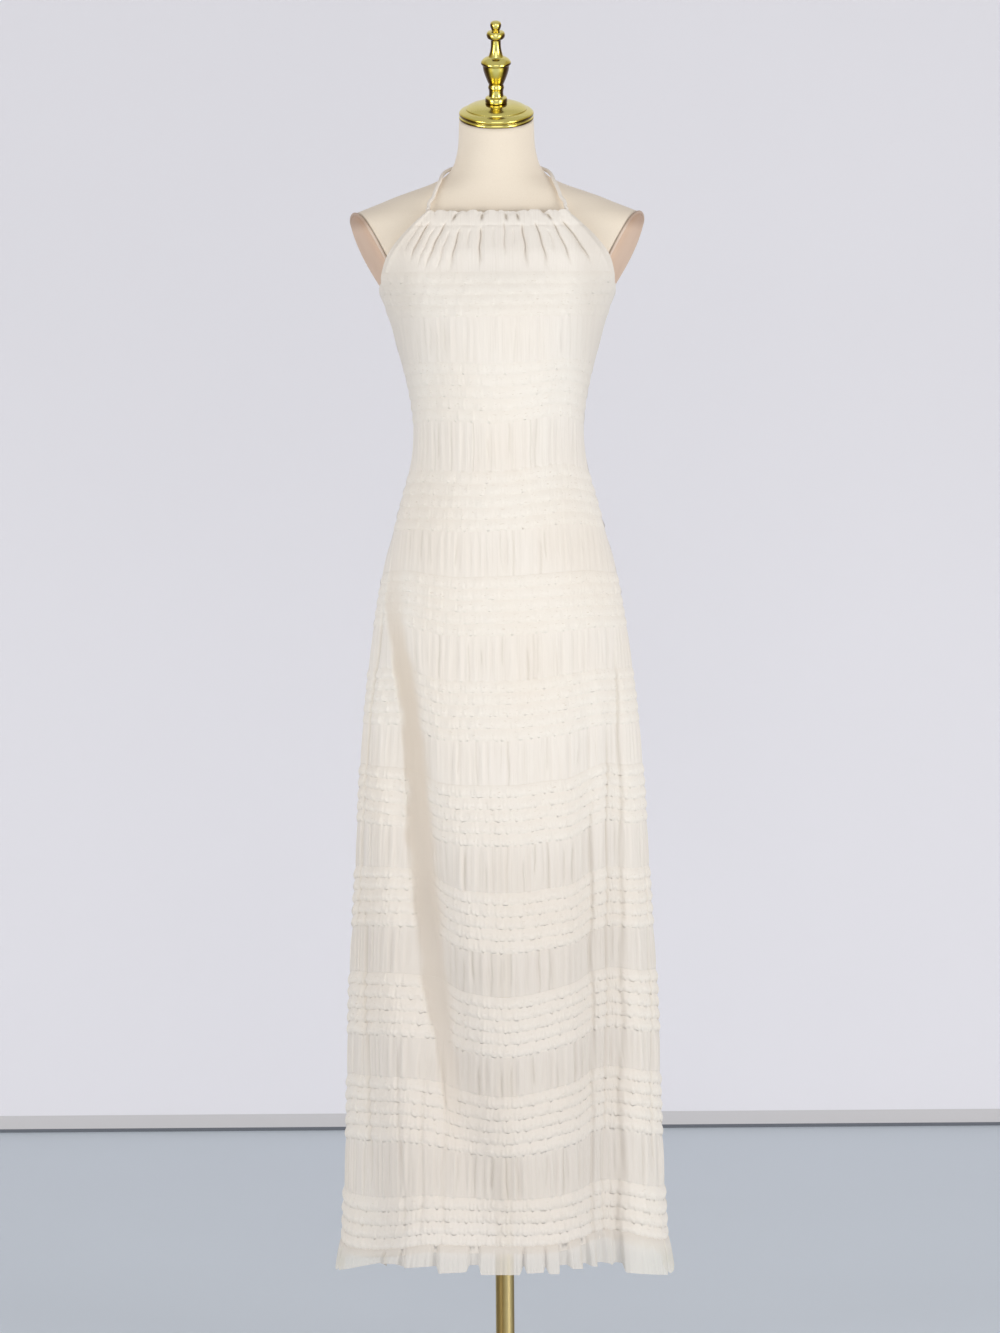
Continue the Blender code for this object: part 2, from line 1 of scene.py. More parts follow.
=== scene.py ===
"""Looks of a halter-neck maxi dress worn by a limbless dress form: cloth, form cover, brass and studio.

Metres, +Z up, the dress faces -Y. A turn is measured in degrees from the centre front, towards +X.
The cloth's panels are grids of rows down the dress and columns round it. Frilled tucks and gathers are
relief on those rows, and the same waves feed the cloth's material through attributes.
"""

import math
from collections import namedtuple

import bpy
import numpy as np
from mathutils import Matrix, Vector


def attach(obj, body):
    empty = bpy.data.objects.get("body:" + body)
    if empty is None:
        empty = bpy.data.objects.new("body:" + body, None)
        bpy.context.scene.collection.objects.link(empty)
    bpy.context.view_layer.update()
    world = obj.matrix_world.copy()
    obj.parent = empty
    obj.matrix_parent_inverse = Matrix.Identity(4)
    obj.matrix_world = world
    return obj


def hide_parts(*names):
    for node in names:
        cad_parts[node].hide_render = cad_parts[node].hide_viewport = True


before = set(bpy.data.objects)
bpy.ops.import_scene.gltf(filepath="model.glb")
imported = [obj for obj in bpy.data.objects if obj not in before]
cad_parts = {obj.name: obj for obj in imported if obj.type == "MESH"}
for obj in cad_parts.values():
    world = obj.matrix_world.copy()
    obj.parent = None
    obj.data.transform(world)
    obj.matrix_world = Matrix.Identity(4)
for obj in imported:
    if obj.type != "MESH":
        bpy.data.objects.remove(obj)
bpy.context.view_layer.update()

# ---------------------------------------------------------------- sizes shared with the solids

SEAM_GAP = 0.0003
ROOT_OFFSET = 0.0007
LIP_OFFSET = 0.0040
TUCK_PITCH = 0.0156
HEM_SEAM = 0.228
UNDERARM = 1.476
NECKLINE = 1.585
NECKLINE_HALF_WIDTH = 0.092
ARMHOLE_BULGE = 1.88
BACK_TOP = 1.474
HIP = 1.09
FOLDS_FULL_BY = 0.25
BELOW_HEM_SHARE = 1.1
FRILL_LENGTH = 0.030
FRILL_TOP = 0.2390
CORD_RADIUS = 0.0026
CORD_CLEARANCE = 0.0014
CORD_SEAT = 0.0014
CORD_LOOK_RADIUS = 0.0024
ARMHOLE_LOWEST = 1.42
NECK_TOP = 1.7075
NECK_TILT = math.radians(18)
NECK_CENTRE_Y = -0.004
POLE_RADIUS = 0.0125
POLE_TOP = 0.8077
BASE_RADIUS = 0.165
BASE_THICKNESS = 0.012
SOCKET_HEIGHT = 0.045
SLOPE_TURN = 0.5
SLOPE_HEIGHT = 0.001

Section = namedtuple("Section", "height half_width front back")
Band = namedtuple("Band", "foot tucks")
Fold = namedtuple("Fold", "hip_turn hem_turn half_turn middle_rise hem_rise")
SideLift = namedtuple("SideLift", "height lift")
CordStop = namedtuple("CordStop", "station turn height lift")
Turned = namedtuple("Turned", "along radius")


def table_of(kind, *rows):
    """A table: each row of numbers with its columns' names."""
    return tuple(kind(*row) for row in rows)


TUCK_BANDS = table_of(
    Band,
    (1.444, 4), (1.305, 5), (1.164, 5), (1.024, 5), (0.887, 5), (0.753, 5), (0.616, 5), (0.482, 5),
    (0.354, 5), (0.237, 4),
)

DRESS_SECTIONS = table_of(
    Section,
    (0.150, 0.2190, 0.172, 0.174), (0.200, 0.2180, 0.171, 0.173), (0.360, 0.2100, 0.163, 0.166),
    (0.520, 0.2050, 0.152, 0.157), (0.680, 0.1950, 0.139, 0.147), (0.840, 0.1860, 0.126, 0.138),
    (0.960, 0.1750, 0.115, 0.133), (1.040, 0.1650, 0.110, 0.128), (1.120, 0.1510, 0.106, 0.117),
    (1.160, 0.1405, 0.102, 0.108), (1.200, 0.1300, 0.097, 0.098), (1.240, 0.1190, 0.091, 0.089),
    (1.280, 0.1125, 0.088, 0.082), (1.320, 0.1135, 0.093, 0.082), (1.360, 0.1205, 0.103, 0.086),
    (1.400, 0.1310, 0.115, 0.090), (1.440, 0.1420, 0.122, 0.094), (1.480, 0.1580, 0.115, 0.097),
    (1.505, 0.1790, 0.106, 0.099), (1.530, 0.2000, 0.096, 0.099), (1.560, 0.2130, 0.082, 0.095),
    (1.583, 0.2020, 0.072, 0.086), (1.600, 0.1760, 0.067, 0.078),
)

FORM_SECTIONS = table_of(
    Section,
    (0.808, 0.132, 0.086, 0.098), (0.900, 0.146, 0.094, 0.112), (1.000, 0.156, 0.100, 0.121),
    (1.080, 0.154, 0.099, 0.115), (1.160, 0.134, 0.095, 0.100), (1.240, 0.1125, 0.084, 0.081),
    (1.280, 0.1060, 0.081, 0.075), (1.320, 0.1075, 0.086, 0.075), (1.380, 0.1195, 0.102, 0.081),
    (1.440, 0.1350, 0.115, 0.087), (1.480, 0.1490, 0.108, 0.091), (1.505, 0.1710, 0.099, 0.093),
    (1.530, 0.1930, 0.089, 0.093), (1.560, 0.2060, 0.075, 0.089), (1.575, 0.2030, 0.068, 0.083),
    (1.583, 0.1900, 0.0650, 0.078), (1.590, 0.1730, 0.0620, 0.074), (1.597, 0.1550, 0.0595, 0.070),
    (1.605, 0.1355, 0.0570, 0.066), (1.613, 0.1130, 0.0550, 0.062), (1.621, 0.0900, 0.0535, 0.059),
    (1.631, 0.0700, 0.0520, 0.055), (1.645, 0.0580, 0.0505, 0.050), (1.660, 0.0530, 0.0500, 0.047),
    (1.700, 0.0495, 0.0500, 0.045), (1.740, 0.0485, 0.0500, 0.045),
)

FOLDS = table_of(
    Fold,
    (-58, -6, 12, -0.024, -0.010), (-66, -34, 13, 0.007, 0.012), (0, 8, 22, 0.005, 0.008),
    (42, 34, 8, -0.010, -0.012), (58, 45, 6, -0.012, -0.022), (76, 64, 13, 0.006, 0.010),
    (118, 130, 15, -0.014, -0.030), (-122, -128, 14, -0.016, -0.032),
    (176, 168, 13, -0.014, -0.034), (148, 150, 12, 0.005, 0.008), (-150, -150, 13, 0.005, 0.008),
)

SIDE_LIFTS = table_of(
    SideLift,
    (1.15, 0.000), (0.90, 0.020), (0.65, 0.020), (0.48, 0.008), (0.35, -0.004), (0.23, -0.022),
    (0.15, -0.028),
)

CORD_STOPS = table_of(
    CordStop,
    (0, 27.5, 1.5830, 0.0050), (1, 31.6, 1.5925, 0.0040), (2, 35.5, 1.6030, 0.0012),
    (3, 44.7, 1.6140, 0.0004), (4, 61.9, 1.6245, 0.0004), (5, 88.0, 1.6340, 0.0004),
    (6, 118.0, 1.6425, 0.0000), (7, 150.0, 1.6488, 0.0000), (8, 180.0, 1.6515, 0.0000),
)

# ---------------------------------------------------------------- detail that only the looks have

# The plane of each armhole: a point of it at +X, its turn towards the front and its tilt downwards.
ARM_PLATE_PLACE = (0.1642, 0.0, 1.530)
ARM_PLATE_FORWARD = math.radians(16.5)
ARM_PLATE_DOWN = math.radians(22.7)
# From that point to the plate's centre, before it is brought back into the plane.
ARM_PLATE_CENTRE = np.array([0.0, -0.008, 0.004])
PLATE_COLUMNS = 96
PLATE_ROWS = 48
# The UV map gives the plate's outline this radius, so the material finds the piped edge by it.
PLATE_UV_RADIUS = 0.07
TORSO_COLUMNS = 240
NECK_PLACE = np.array([0, NECK_CENTRE_Y, NECK_TOP])

# The casing's seam lies this far below the neckline where the cloth is gathered.
CASING_SEAM = 0.0200
# Gathers at the neckline. Each sharp valley runs down from one share of the way between the centre and the
# armhole's edge to another, between two heights.
NeckValley = namedtuple("NeckValley", "top foot start end depth")
NECK_VALLEYS = table_of(
    NeckValley,
    (-0.900, -0.860, 1.568, 1.535, 0.0016), (-0.803, -0.749, 1.567, 1.521, 0.0042),
    (-0.690, -0.655, 1.560, 1.514, 0.0020), (-0.599, -0.575, 1.566, 1.511, 0.0044),
    (-0.500, -0.470, 1.555, 1.510, 0.0022), (-0.399, -0.362, 1.558, 1.507, 0.0044),
    (-0.290, -0.265, 1.559, 1.535, 0.0016), (-0.173, -0.138, 1.560, 1.513, 0.0050),
    (-0.040, -0.035, 1.562, 1.538, 0.0012), (0.079, 0.062, 1.567, 1.528, 0.0026),
    (0.170, 0.150, 1.560, 1.540, 0.0010), (0.269, 0.228, 1.563, 1.512, 0.0052),
    (0.436, 0.388, 1.565, 1.509, 0.0052), (0.540, 0.500, 1.558, 1.530, 0.0016),
    (0.646, 0.603, 1.566, 1.516, 0.0044), (0.787, 0.797, 1.568, 1.519, 0.0062),
)
# Places along the neckline where the casing is drawn in to a small gap, with painted shade in it.
NECK_NOTCHES = (-0.533, -0.188, 0.111, 0.256, 0.655)

# The smooth hollow where the left flute turns back over the apron of the skirt.
Hollow = namedtuple("Hollow", "height turn half_turn strength")
HOLLOWS = table_of(
    Hollow,
    (1.130, -63.0, 6.0, 0.0), (1.090, -62.5, 8.0, 0.22), (1.045, -59.0, 8.0, 0.48),
    (1.000, -52.8, 7.4, 0.8), (0.965, -48.6, 7.4, 0.95), (0.935, -45.6, 7.6, 1.0),
    (0.868, -41.4, 8.2, 1.0), (0.800, -38.2, 8.0, 1.0), (0.730, -36.6, 7.8, 1.0),
    (0.665, -33.8, 7.0, 1.0), (0.590, -30.4, 6.4, 1.0), (0.522, -26.6, 5.6, 0.95),
    (0.460, -22.6, 4.4, 0.8), (0.400, -19.6, 3.6, 0.4), (0.345, -17.0, 3.2, 0.0),
)

# Sharp fold lines that run down the skirt through tucks and gathers alike, between two heights.
FoldLine = namedtuple("FoldLine", "hip_turn hem_turn half_turn depth top foot")
FOLD_LINES = table_of(
    FoldLine,
    (43.5, 34.5, 0.9, 0.0036, 0.80, 0.16), (55.5, 41.0, 0.9, 0.0042, 0.90, 0.16),
    (63.5, 48.0, 0.9, 0.0036, 1.00, 0.16), (82.0, 60.0, 0.8, 0.0026, 0.72, 0.30),
    (-70.0, -80.0, 1.3, 0.0050, 1.06, 0.60), (-79.5, -52.0, 1.3, 0.0040, 0.66, 0.30),
    (-61.0, -34.0, 0.6, 0.0026, 0.50, 0.24), (-36.0, -29.0, 0.6, 0.0024, 0.50, 0.24),
    (-33.0, -21.0, 0.6, 0.0026, 0.50, 0.24), (112.0, 118.0, 1.1, 0.0040, 0.95, 0.16),
    (-112.0, -120.0, 1.1, 0.0040, 0.95, 0.16), (168.0, 160.0, 1.1, 0.0036, 0.95, 0.16),
    (-168.0, -172.0, 1.1, 0.0036, 0.95, 0.16),
)
# Turns of the deepest valleys in each zone of gathers.
GatherMarks = namedtuple("GatherMarks", "zone turns")
GATHER_MARKS = table_of(
    GatherMarks,
    (0, (-51.0, -45.0, -40.5, -36.0, -31.0, 9.5, 37.0, 44.0)),
    (1, (-44.0, -33.0, -16.8, -7.3, 6.6, 21.6, 25.2, 64.0)),
    (2, (-44.5, -38.0, -23.0, 0.6, 7.0, 21.8, 24.4, 48.8, 66.0)),
    (3, (-28.0, -14.0, -8.5, 0.9, 12.2, 14.9, 16.8, 25.9)), (4, (-17.6, -10.0, 2.9, 18.8, 34.0)),
    (5, (-14.5, -6.2, 1.9, 8.2, 12.5, 18.2, 24.9, 28.8)),
    (6, (-15.0, -11.0, -4.1, 3.0, 13.5, 17.5)), (7, (-9.1, -0.7, 2.9, 10.6, 19.6, 27.0, 31.0)),
    (8, (-11.0, -4.3, 0.8, 4.6, 14.7, 21.0)),
)
# How deep the gathers of each zone are.
GATHER_DEPTHS = (0.34, 0.46, 0.48, 0.52, 0.60, 0.78, 0.92, 1.05, 1.10, 1.10)

# How far the rows of each band lie above the even rows of the cloth, in millimetres: the rows run
# level over the flutes at both sides and sag between them.
RowLift = namedtuple("RowLift", "turn first second third fourth fifth sixth seventh eighth ninth tenth")
ROW_LIFTS = table_of(
    RowLift,
    (-90, 3, 0, 0, 0, 0, 0, 0, 0, 0, 0), (-73, 4, 3, 2, 8, 5, 8, 10, 9, 9, -6),
    (-62, 4, 5, 3, 12, 10, 11, 16, 12, 11, -8), (-50, 4, 7, 4, 14, 16, 14, 24, 19, 14, -9),
    (-36, 4, 7, 3, 10, 12, 12, 26, 21, 17, -6), (-26, 4, 6, 3, 7, 6, 6, 16, 18, 11, -2),
    (-18, 4, 5, 3, 6, 6, 4, 7, 8, 2, -4), (-9, 4, 4, 3, 7, 7, 4, 3, 3, -2, -5),
    (0, 5, 4, 4, 7, 7, 4, 1, 0, -3, -5), (9, 5, 5, 5, 8, 8, 5, 2, 3, 1, -4),
    (16, 5, 7, 7, 9, 10, 8, 5, 8, 6, -3), (28, 5, 10, 10, 10, 12, 9, 8, 17, 14, 4),
    (40, 5, 13, 12, 10, 14, 18, 19, 26, 27, 11), (48, 5, 12, 12, 10, 14, 22, 20, 25, 25, 10),
    (62, 4, 8, 8, 6, 8, 10, 10, 14, 15, 2), (76, 3, 3, 4, 3, 4, 5, 6, 8, 8, 0),
    (90, 3, 0, 0, 0, 0, 0, 0, 0, 0, 0),
)
# The height at which each column of ROW_LIFTS holds, from the hem up. At LIFTS_END nothing is lifted.
LIFT_HEIGHTS = (
    ("tenth", 0.262), ("ninth", 0.385), ("eighth", 0.515), ("seventh", 0.648), ("sixth", 0.785),
    ("fifth", 0.919), ("fourth", 1.055), ("third", 1.190), ("second", 1.335), ("first", 1.440),
)
LIFTS_END = 1.500

# How strongly each band's tucks stand out.
BAND_FULLNESS = (0.26, 0.32, 0.36, 0.38, 0.46, 0.64, 0.72, 0.76, 0.76, 0.76)

# The hem frill's lobes at the front: each one's first and last turn, and how far it hangs below the
# frill's even edge at either side, in millimetres.
Lobe = namedtuple("Lobe", "first last drop_first drop_last")
FRONT_LOBES = table_of(
    Lobe,
    (-89.5, -81.0, -2, -2), (-78.5, -44.6, -3, -16), (-43.4, -36.2, -15, -15),
    (-34.1, -24.9, -10, -12), (-22.9, -12.8, -2, -3), (-8.6, 5.8, 1, 0), (7.0, 13.2, -2, -3),
    (14.0, 18.3, -1, 0), (22.1, 27.0, -6, -5), (30.8, 34.9, -7, -6), (40.0, 46.3, -9, -8),
    (49.2, 67.0, 0, 3), (68.0, 82.7, 2, 0), (84.5, 89.5, -2, -2),
)

# An arc on the cloth is measured on this share of its half width.
ARC_SHARE = 0.93
# How wide each fall between a lobe and its gap is, in degrees, and the radius on which the frill is measured.
LOBE_FALL = 1.3
FRILL_RADIUS = 0.205
FRILL_ROWS = 18
HALTER_COLUMNS = 440
# Numbers of the casing's and the chest's rows; the gathers' are 0 to 9 and the tucks' start at TUCK_ZONES.
CASING_ZONE = 90
CHEST_ZONE = 91
TUCK_ZONES = 20
ZONES_A_BAND = 6
RIPPLE_PHASES = np.random.default_rng(11).uniform(0, 2 * math.pi, (96, 8))

# Wavelengths of the cloth's waves, in metres.
FLUTES = (0.0231, 0.0137, 0.0089, 0.0061, 0.0048)
CRINKLES = (0.0079, 0.0057, 0.0043)
BROAD_SWELLS = (0.031, 0.0193)
NARROW_SWELLS = (0.0151, 0.0113, 0.0087)
TURNING_SWELLS = (0.0173, 0.0097)
UNEVEN_TUCKS = (0.043, 0.027, 0.0171)
SLOW_DROPS = (0.041, 0.023, 0.013)
QUICK_DROPS = (0.0107, 0.0073, 0.0051)
CHEST_CRINKLES = (0.0123, 0.0083, 0.0057)
CASING_SCALLOPS = (0.0193, 0.0131)
FRILL_WAVES = (0.0123, 0.0079, 0.0053)
# How far they and the large shapes of the cloth stand out or in, in metres.
FLUTE_RISE = 0.0009
CRINKLE_RISE = 0.0006
SWELL_RISE = 0.0013
VALLEY_DEPTH = 0.0012
HOLLOW_LIP_RISE = 0.0016
HOLLOW_DEPTH = 0.0014
CHEST_EASE = 0.0042
NECK_VALLEY_DEPTH = 0.0032
NECK_SHOULDER_DEPTH = 0.0018
CASING_PUFF = 0.0016
PIT_DEPTH = 0.0042
NOTCH_DEPTH = 0.0012
EDGE_ROLL = 0.0014
RIGHT_EDGE_ROLL = 0.0026
LOBE_RISE = 0.0098
GAP_DEPTH = 0.0020
GAP_LIFT = 0.0105


def cubic(values, slopes, i, share, span=1.0):
    """Cubic between rows i and i + 1 of some values with their slopes, a share of the way along the span."""
    start = (1 + 2 * share) * (1 - share) ** 2 * values[i] + share * (1 - share) ** 2 * span * slopes[i]
    end = share * share * (3 - 2 * share) * values[i + 1] + share * share * (share - 1) * span * slopes[i + 1]
    return start + end


def smooth_column(table, column, at, along="height"):
    """Cubic curve through one column of a table, read at the given places along another column."""
    rows = sorted(table, key=lambda row: getattr(row, along))
    x, y = (np.array([getattr(row, name) for row in rows]) for name in (along, column))
    place = np.clip(at, x[0], x[-1])
    i = np.clip(np.searchsorted(x, place, side="right") - 1, 0, len(x) - 2)
    span = x[i + 1] - x[i]
    return cubic(y, np.gradient(y, x), i, (place - x[i]) / span, span)


def through(table, column, steps):
    """Cubic curve through a table's rows taken in their own order, read at row numbers."""
    values = np.array([getattr(row, column) for row in table])
    i = np.clip(np.floor(steps).astype(int), 0, len(values) - 2)
    return cubic(values, np.gradient(values), i, steps - i)


def ease(x):
    """Smooth step from 0 to 1."""
    x = np.clip(x, 0, 1)
    return x * x * (3 - 2 * x)


def bell(x):
    """1 at 0, falling off on both sides as exp(-x squared)."""
    return np.exp(-(x**2))


def signed(turn):
    """A turn brought between -180 and 180 degrees."""
    return (turn + 180) % 360 - 180


def unit(vectors):
    """Each vector at length 1; a vector of no length stays 0."""
    return vectors / np.maximum(np.linalg.norm(vectors, axis=-1, keepdims=True), 1e-12)


def section_point(table, turn, height, rise=0.0):
    """Points on the rounded section of a table: x from the half width, y from the front or back depth."""
    angle = np.radians(turn)
    deep = np.where(
        np.cos(angle) > 0,
        smooth_column(table, "front", height),
        smooth_column(table, "back", height),
    )
    x = (smooth_column(table, "half_width", height) + rise) * np.sin(angle)
    y = -(deep + rise) * np.cos(angle)
    return np.stack([x, y, height + 0 * x], axis=-1)


def share_down(height):
    """0 at the hip, 1 at the hem's seam."""
    return np.clip((HIP - height) / (HIP - HEM_SEAM), 0, BELOW_HEM_SHARE)


def fold_away(fold, turn, height):
    """Degrees from a fold's centre line, which swings from its hip turn to its hem turn."""
    centre = fold.hip_turn + (fold.hem_turn - fold.hip_turn) * share_down(height)
    return signed(turn - centre)


def fold_rise(turn, height):
    """How far the skirt's large folds push the cloth out, on a parabola through the hip, middle and hem."""
    down = share_down(height)
    begun = ease(down / FOLDS_FULL_BY)
    middle, hem = 4 * down * (1 - down), down * (2 * down - 1)
    rise = 0.0 * turn
    for fold in FOLDS:
        depth = fold.middle_rise * middle + fold.hem_rise * hem
        rise = rise + begun * depth * bell(fold_away(fold, turn, height) / fold.half_turn)
    return rise


def cloth(turn, height):
    """The cloth's middle surface."""
    turn, height = np.broadcast_arrays(np.asarray(turn, float), np.asarray(height, float))
    point = section_point(DRESS_SECTIONS, turn, height, fold_rise(turn, height))
    side = np.abs(np.sin(np.radians(turn))) ** 3
    point[..., 2] += smooth_column(SIDE_LIFTS, "lift", height) * side
    return point


def on_cloth(turn, height, out):
    """Points of the cloth, moved out level."""
    turn, height = np.broadcast_arrays(np.asarray(turn, float), np.asarray(height, float))
    around = cloth(turn + SLOPE_TURN, height) - cloth(turn - SLOPE_TURN, height)
    level = np.stack([around[..., 1], -around[..., 0], 0 * around[..., 0]], axis=-1)
    return cloth(turn, height) + (out + 0.0 * turn)[..., None] * unit(level)


def form(turn, height):
    """The dress form's surface."""
    turn, height = np.broadcast_arrays(np.asarray(turn, float), np.asarray(height, float))
    return section_point(FORM_SECTIONS, turn, height)


def on_form(turn, height, out):
    """Points of the dress form, moved out along its normals."""
    around = form(turn + SLOPE_TURN, height) - form(turn - SLOPE_TURN, height)
    up = form(turn, height + SLOPE_HEIGHT) - form(turn, height - SLOPE_HEIGHT)
    return form(turn, height) + out * unit(np.cross(around, up))


def front_edge_turn(height):
    """Turn of the front panel's edge: the side seam, then above the underarm the armhole."""
    half_width = smooth_column(DRESS_SECTIONS, "half_width", height)
    share = np.clip((height - UNDERARM) / (NECKLINE - UNDERARM), 0, 1)
    start = float(smooth_column(DRESS_SECTIONS, "half_width", UNDERARM))
    edge = start + (NECKLINE_HALF_WIDTH - start) * share**ARMHOLE_BULGE
    armhole = np.degrees(np.arcsin(np.clip(edge / half_width, 0, 1)))
    gap = np.degrees(SEAM_GAP / 2 / smooth_column(DRESS_SECTIONS, "front", height))
    return np.where(height > UNDERARM, np.minimum(armhole, 90 - gap), 90 - gap)


# ---------------------------------------------------------------- meshes


def added(name, data):
    """An object with the given data, linked to the scene."""
    made = bpy.data.objects.new(name, data)
    bpy.context.scene.collection.objects.link(made)
    return made


def rays(count, first, second):
    """Turns of evenly spread rays, and their directions in the plane of two directions."""
    angle = np.linspace(0, 2 * math.pi, count, endpoint=False)
    return angle, np.cos(angle)[:, None] * first + np.sin(angle)[:, None] * second


def surface(name, points, across, along, closed_round=False, **attributes):
    """A mesh from a grid of points (rows, columns, 3): quads between neighbours, a UV map of the two
    given distances in metres, and one float attribute for each further grid of numbers."""
    rows, columns = points.shape[:2]
    index = np.arange(rows * columns).reshape(rows, columns)
    if closed_round:
        index = np.concatenate([index, index[:, :1]], axis=1)
    quads = np.stack([index[:-1, :-1], index[1:, :-1], index[1:, 1:], index[:-1, 1:]], axis=-1)
    quads = quads.reshape(-1, 4)
    mesh = bpy.data.meshes.new(name)
    mesh.vertices.add(rows * columns)
    mesh.vertices.foreach_set("co", points.astype(np.float32).ravel())
    mesh.loops.add(quads.size)
    mesh.loops.foreach_set("vertex_index", quads.astype(np.int32).ravel())
    mesh.polygons.add(len(quads))
    mesh.polygons.foreach_set("loop_start", np.arange(0, quads.size, 4, dtype=np.int32))
    mesh.polygons.foreach_set("loop_total", np.full(len(quads), 4, np.int32))
    mesh.update(calc_edges=True)
    mesh.validate()
    across, along = np.broadcast_to(across, (rows, columns)), np.broadcast_to(along, (rows, columns))
    uv = mesh.uv_layers.new(name="cloth")
    places = np.stack([across.ravel()[quads.ravel()], along.ravel()[quads.ravel()]], axis=-1)
    uv.data.foreach_set("uv", places.astype(np.float32).ravel())
    for key, values in attributes.items():
        layer = mesh.attributes.new(key, "FLOAT", "POINT")
        layer.data.foreach_set("value", np.broadcast_to(values, (rows, columns)).astype(np.float32).ravel())
    mesh.shade_smooth()
    return added(name, mesh)


def wave_sum(across, lengths, seeds):
    """Sum of cosines of the given wavelengths, scaled to about -1 to 1; each row's seed picks the phases."""
    total = 0.0 * across
    for k, length in enumerate(lengths):
        phase = RIPPLE_PHASES[seeds % len(RIPPLE_PHASES), k % 8]
        total = total + np.cos(2 * math.pi * across / length + phase)
    return total / math.sqrt(2 * len(lengths))


def pleats(across, lengths, seeds):
    """Rounded ridges between sharp valleys, 0 in a valley and 1 on a ridge: the mean of |sin| waves whose
    places wander on longer waves, so that no two ridges are alike."""
    wander = 0.0042 * wave_sum(across, (0.047, 0.031, 0.019), seeds + 31)
    total = 0.0 * across
    for k, length in enumerate(lengths):
        phase = RIPPLE_PHASES[(seeds + 7) % len(RIPPLE_PHASES), k % 8]
        total = total + np.abs(np.sin(math.pi * (across + wander) / length + phase))
    return total / len(lengths)


# ---------------------------------------------------------------- cloth panels

# One row of a panel: its height at the centre front, its zone's number, how far it is moved up or down to
# hang over its neighbours, how far the cloth stands out, how much of the frill's flutes and of the gathers
# it carries, and its place in its zone (0 at the top).
Row = namedtuple("Row", "height zone hang out frill gather place", defaults=(0.0, ROOT_OFFSET, 0.0, 0.0, 0.0))
# Down one tuck: share of its height, share of the way out to its lip.
TUCK_STEPS = ((0.0, 0.05), (0.17, 0.36), (0.35, 0.72), (0.52, 0.95), (0.67, 1.0), (0.84, 0.76), (1.0, 0.22))
LIP_HANG = 0.0003
# A lip turns in this far above its foot, and a tuck's root lies this far under the lip above.
LIP_FOLD = 0.0010
ROOT_TUCKED = 0.0012
GATHER_ROWS = 11


def band_top(band):
    """Height of the root of a band's highest tuck."""
    return band.foot + TUCK_PITCH * band.tucks - ROOT_TUCKED


def tuck_rows(band, number, top):
    """Rows of a band of tucks from its top down. Each tuck swells out to a lip that hangs over the next."""
    rows = []
    for k in reversed(range(band.tucks)):
        lip = band.foot + TUCK_PITCH * k
        if lip > top - TUCK_PITCH / 2:
            continue
        root = min(lip + TUCK_PITCH - ROOT_TUCKED, top)
        zone = TUCK_ZONES + number * ZONES_A_BAND + k
        for down, share in TUCK_STEPS:
            height = root + (lip + LIP_FOLD - root) * down * 0.97
            hang = root + (lip - LIP_HANG - root) * down - height
            out = ROOT_OFFSET + (LIP_OFFSET - ROOT_OFFSET) * share * BAND_FULLNESS[number]
            rows.append(Row(height, zone, hang, out, frill=share, place=down))
        rows.append(Row(lip + LIP_FOLD, zone, -0.0017, ROOT_OFFSET + 0.0001, place=1.0))
    return rows


def gather_rows(top, foot, zone):
    """Rows of the gathers between two bands, closer together at both stitched ends."""
    places = 0.5 - 0.5 * np.cos(np.linspace(0.09, 0.97, GATHER_ROWS) * math.pi)
    return [Row(top + (foot - top) * p, zone, gather=1.0, place=p) for p in places]


def panel_rows(top, first, last):
    """Rows of the bands first to last with the gathers under each, from the top down."""
    rows = []
    for number in range(first, last + 1):
        band = TUCK_BANDS[number]
        rows += tuck_rows(band, number, top)
        if number + 1 < len(TUCK_BANDS):
            rows += gather_rows(band.foot - LIP_FOLD, band_top(TUCK_BANDS[number + 1]), number)
        else:
            rows.append(Row(HEM_SEAM, number, place=1.0))
    return columns_of(rows)


def columns_of(rows):
    """Rows turned into one Row of columns, each an array with a number for every row."""
    return Row(*(np.array(values)[:, None] for values in zip(*rows)))


def band_fullness(rows):
    """How strongly each row's band of tucks stands out."""
    band = (rows.zone - TUCK_ZONES) // ZONES_A_BAND
    return np.array(BAND_FULLNESS)[np.clip(band, 0, len(BAND_FULLNESS) - 1)]


def row_lift(turn, height):
    """How far a row is lifted at a turn: the table's columns, read between the heights they hold at."""
    around = np.clip(signed(turn), -90, 90)
    lifts = [smooth_column(ROW_LIFTS, name, around, "turn") * 0.001 for name, _ in LIFT_HEIGHTS]
    lifts = np.stack(lifts + [0 * around])
    marks = [at for _, at in LIFT_HEIGHTS] + [LIFTS_END]
    at = np.interp(height, marks, np.arange(len(marks))) + 0 * around
    below = np.clip(np.floor(at).astype(int), 0, len(marks) - 2)[None]
    share = ease(at - below[0])
    low, high = np.take_along_axis(lifts, below, 0)[0], np.take_along_axis(lifts, below + 1, 0)[0]
    return low + (high - low) * share


def hollow_place(turn, height):
    """Degrees from the hollow's middle, its half width there, and its strength."""
    middle, half, strength = (
        smooth_column(HOLLOWS, column, height) for column in ("turn", "half_turn", "strength")
    )
    return signed(turn - middle), half, np.clip(strength, 0, 1)


def smooth_hollow(turn, height):
    """1 in the hollow, where the cloth lies back and its tucks and gathers are pulled flat. Its edge is crisp
    at the flute and soft towards the apron, and wanders a little."""
    away, half, strength = hollow_place(turn, height)
    half = half * (1 + 0.10 * np.sin(height * 61) + 0.07 * np.sin(height * 137 + 1))
    flute = np.exp(-((away / (0.96 * half)) ** 8))
    apron = np.exp(-(np.abs(away / (0.86 * half)) ** 3))
    return strength * np.where(away < 0, flute, apron)


def turned_back(turn, height):
    """Turns moved sideways so that the flute's edge folds over the hollow beside it."""
    away, half, strength = hollow_place(turn, height)
    return turn + strength * 0.8 * bell((away + half + 1.6) / 2.0)


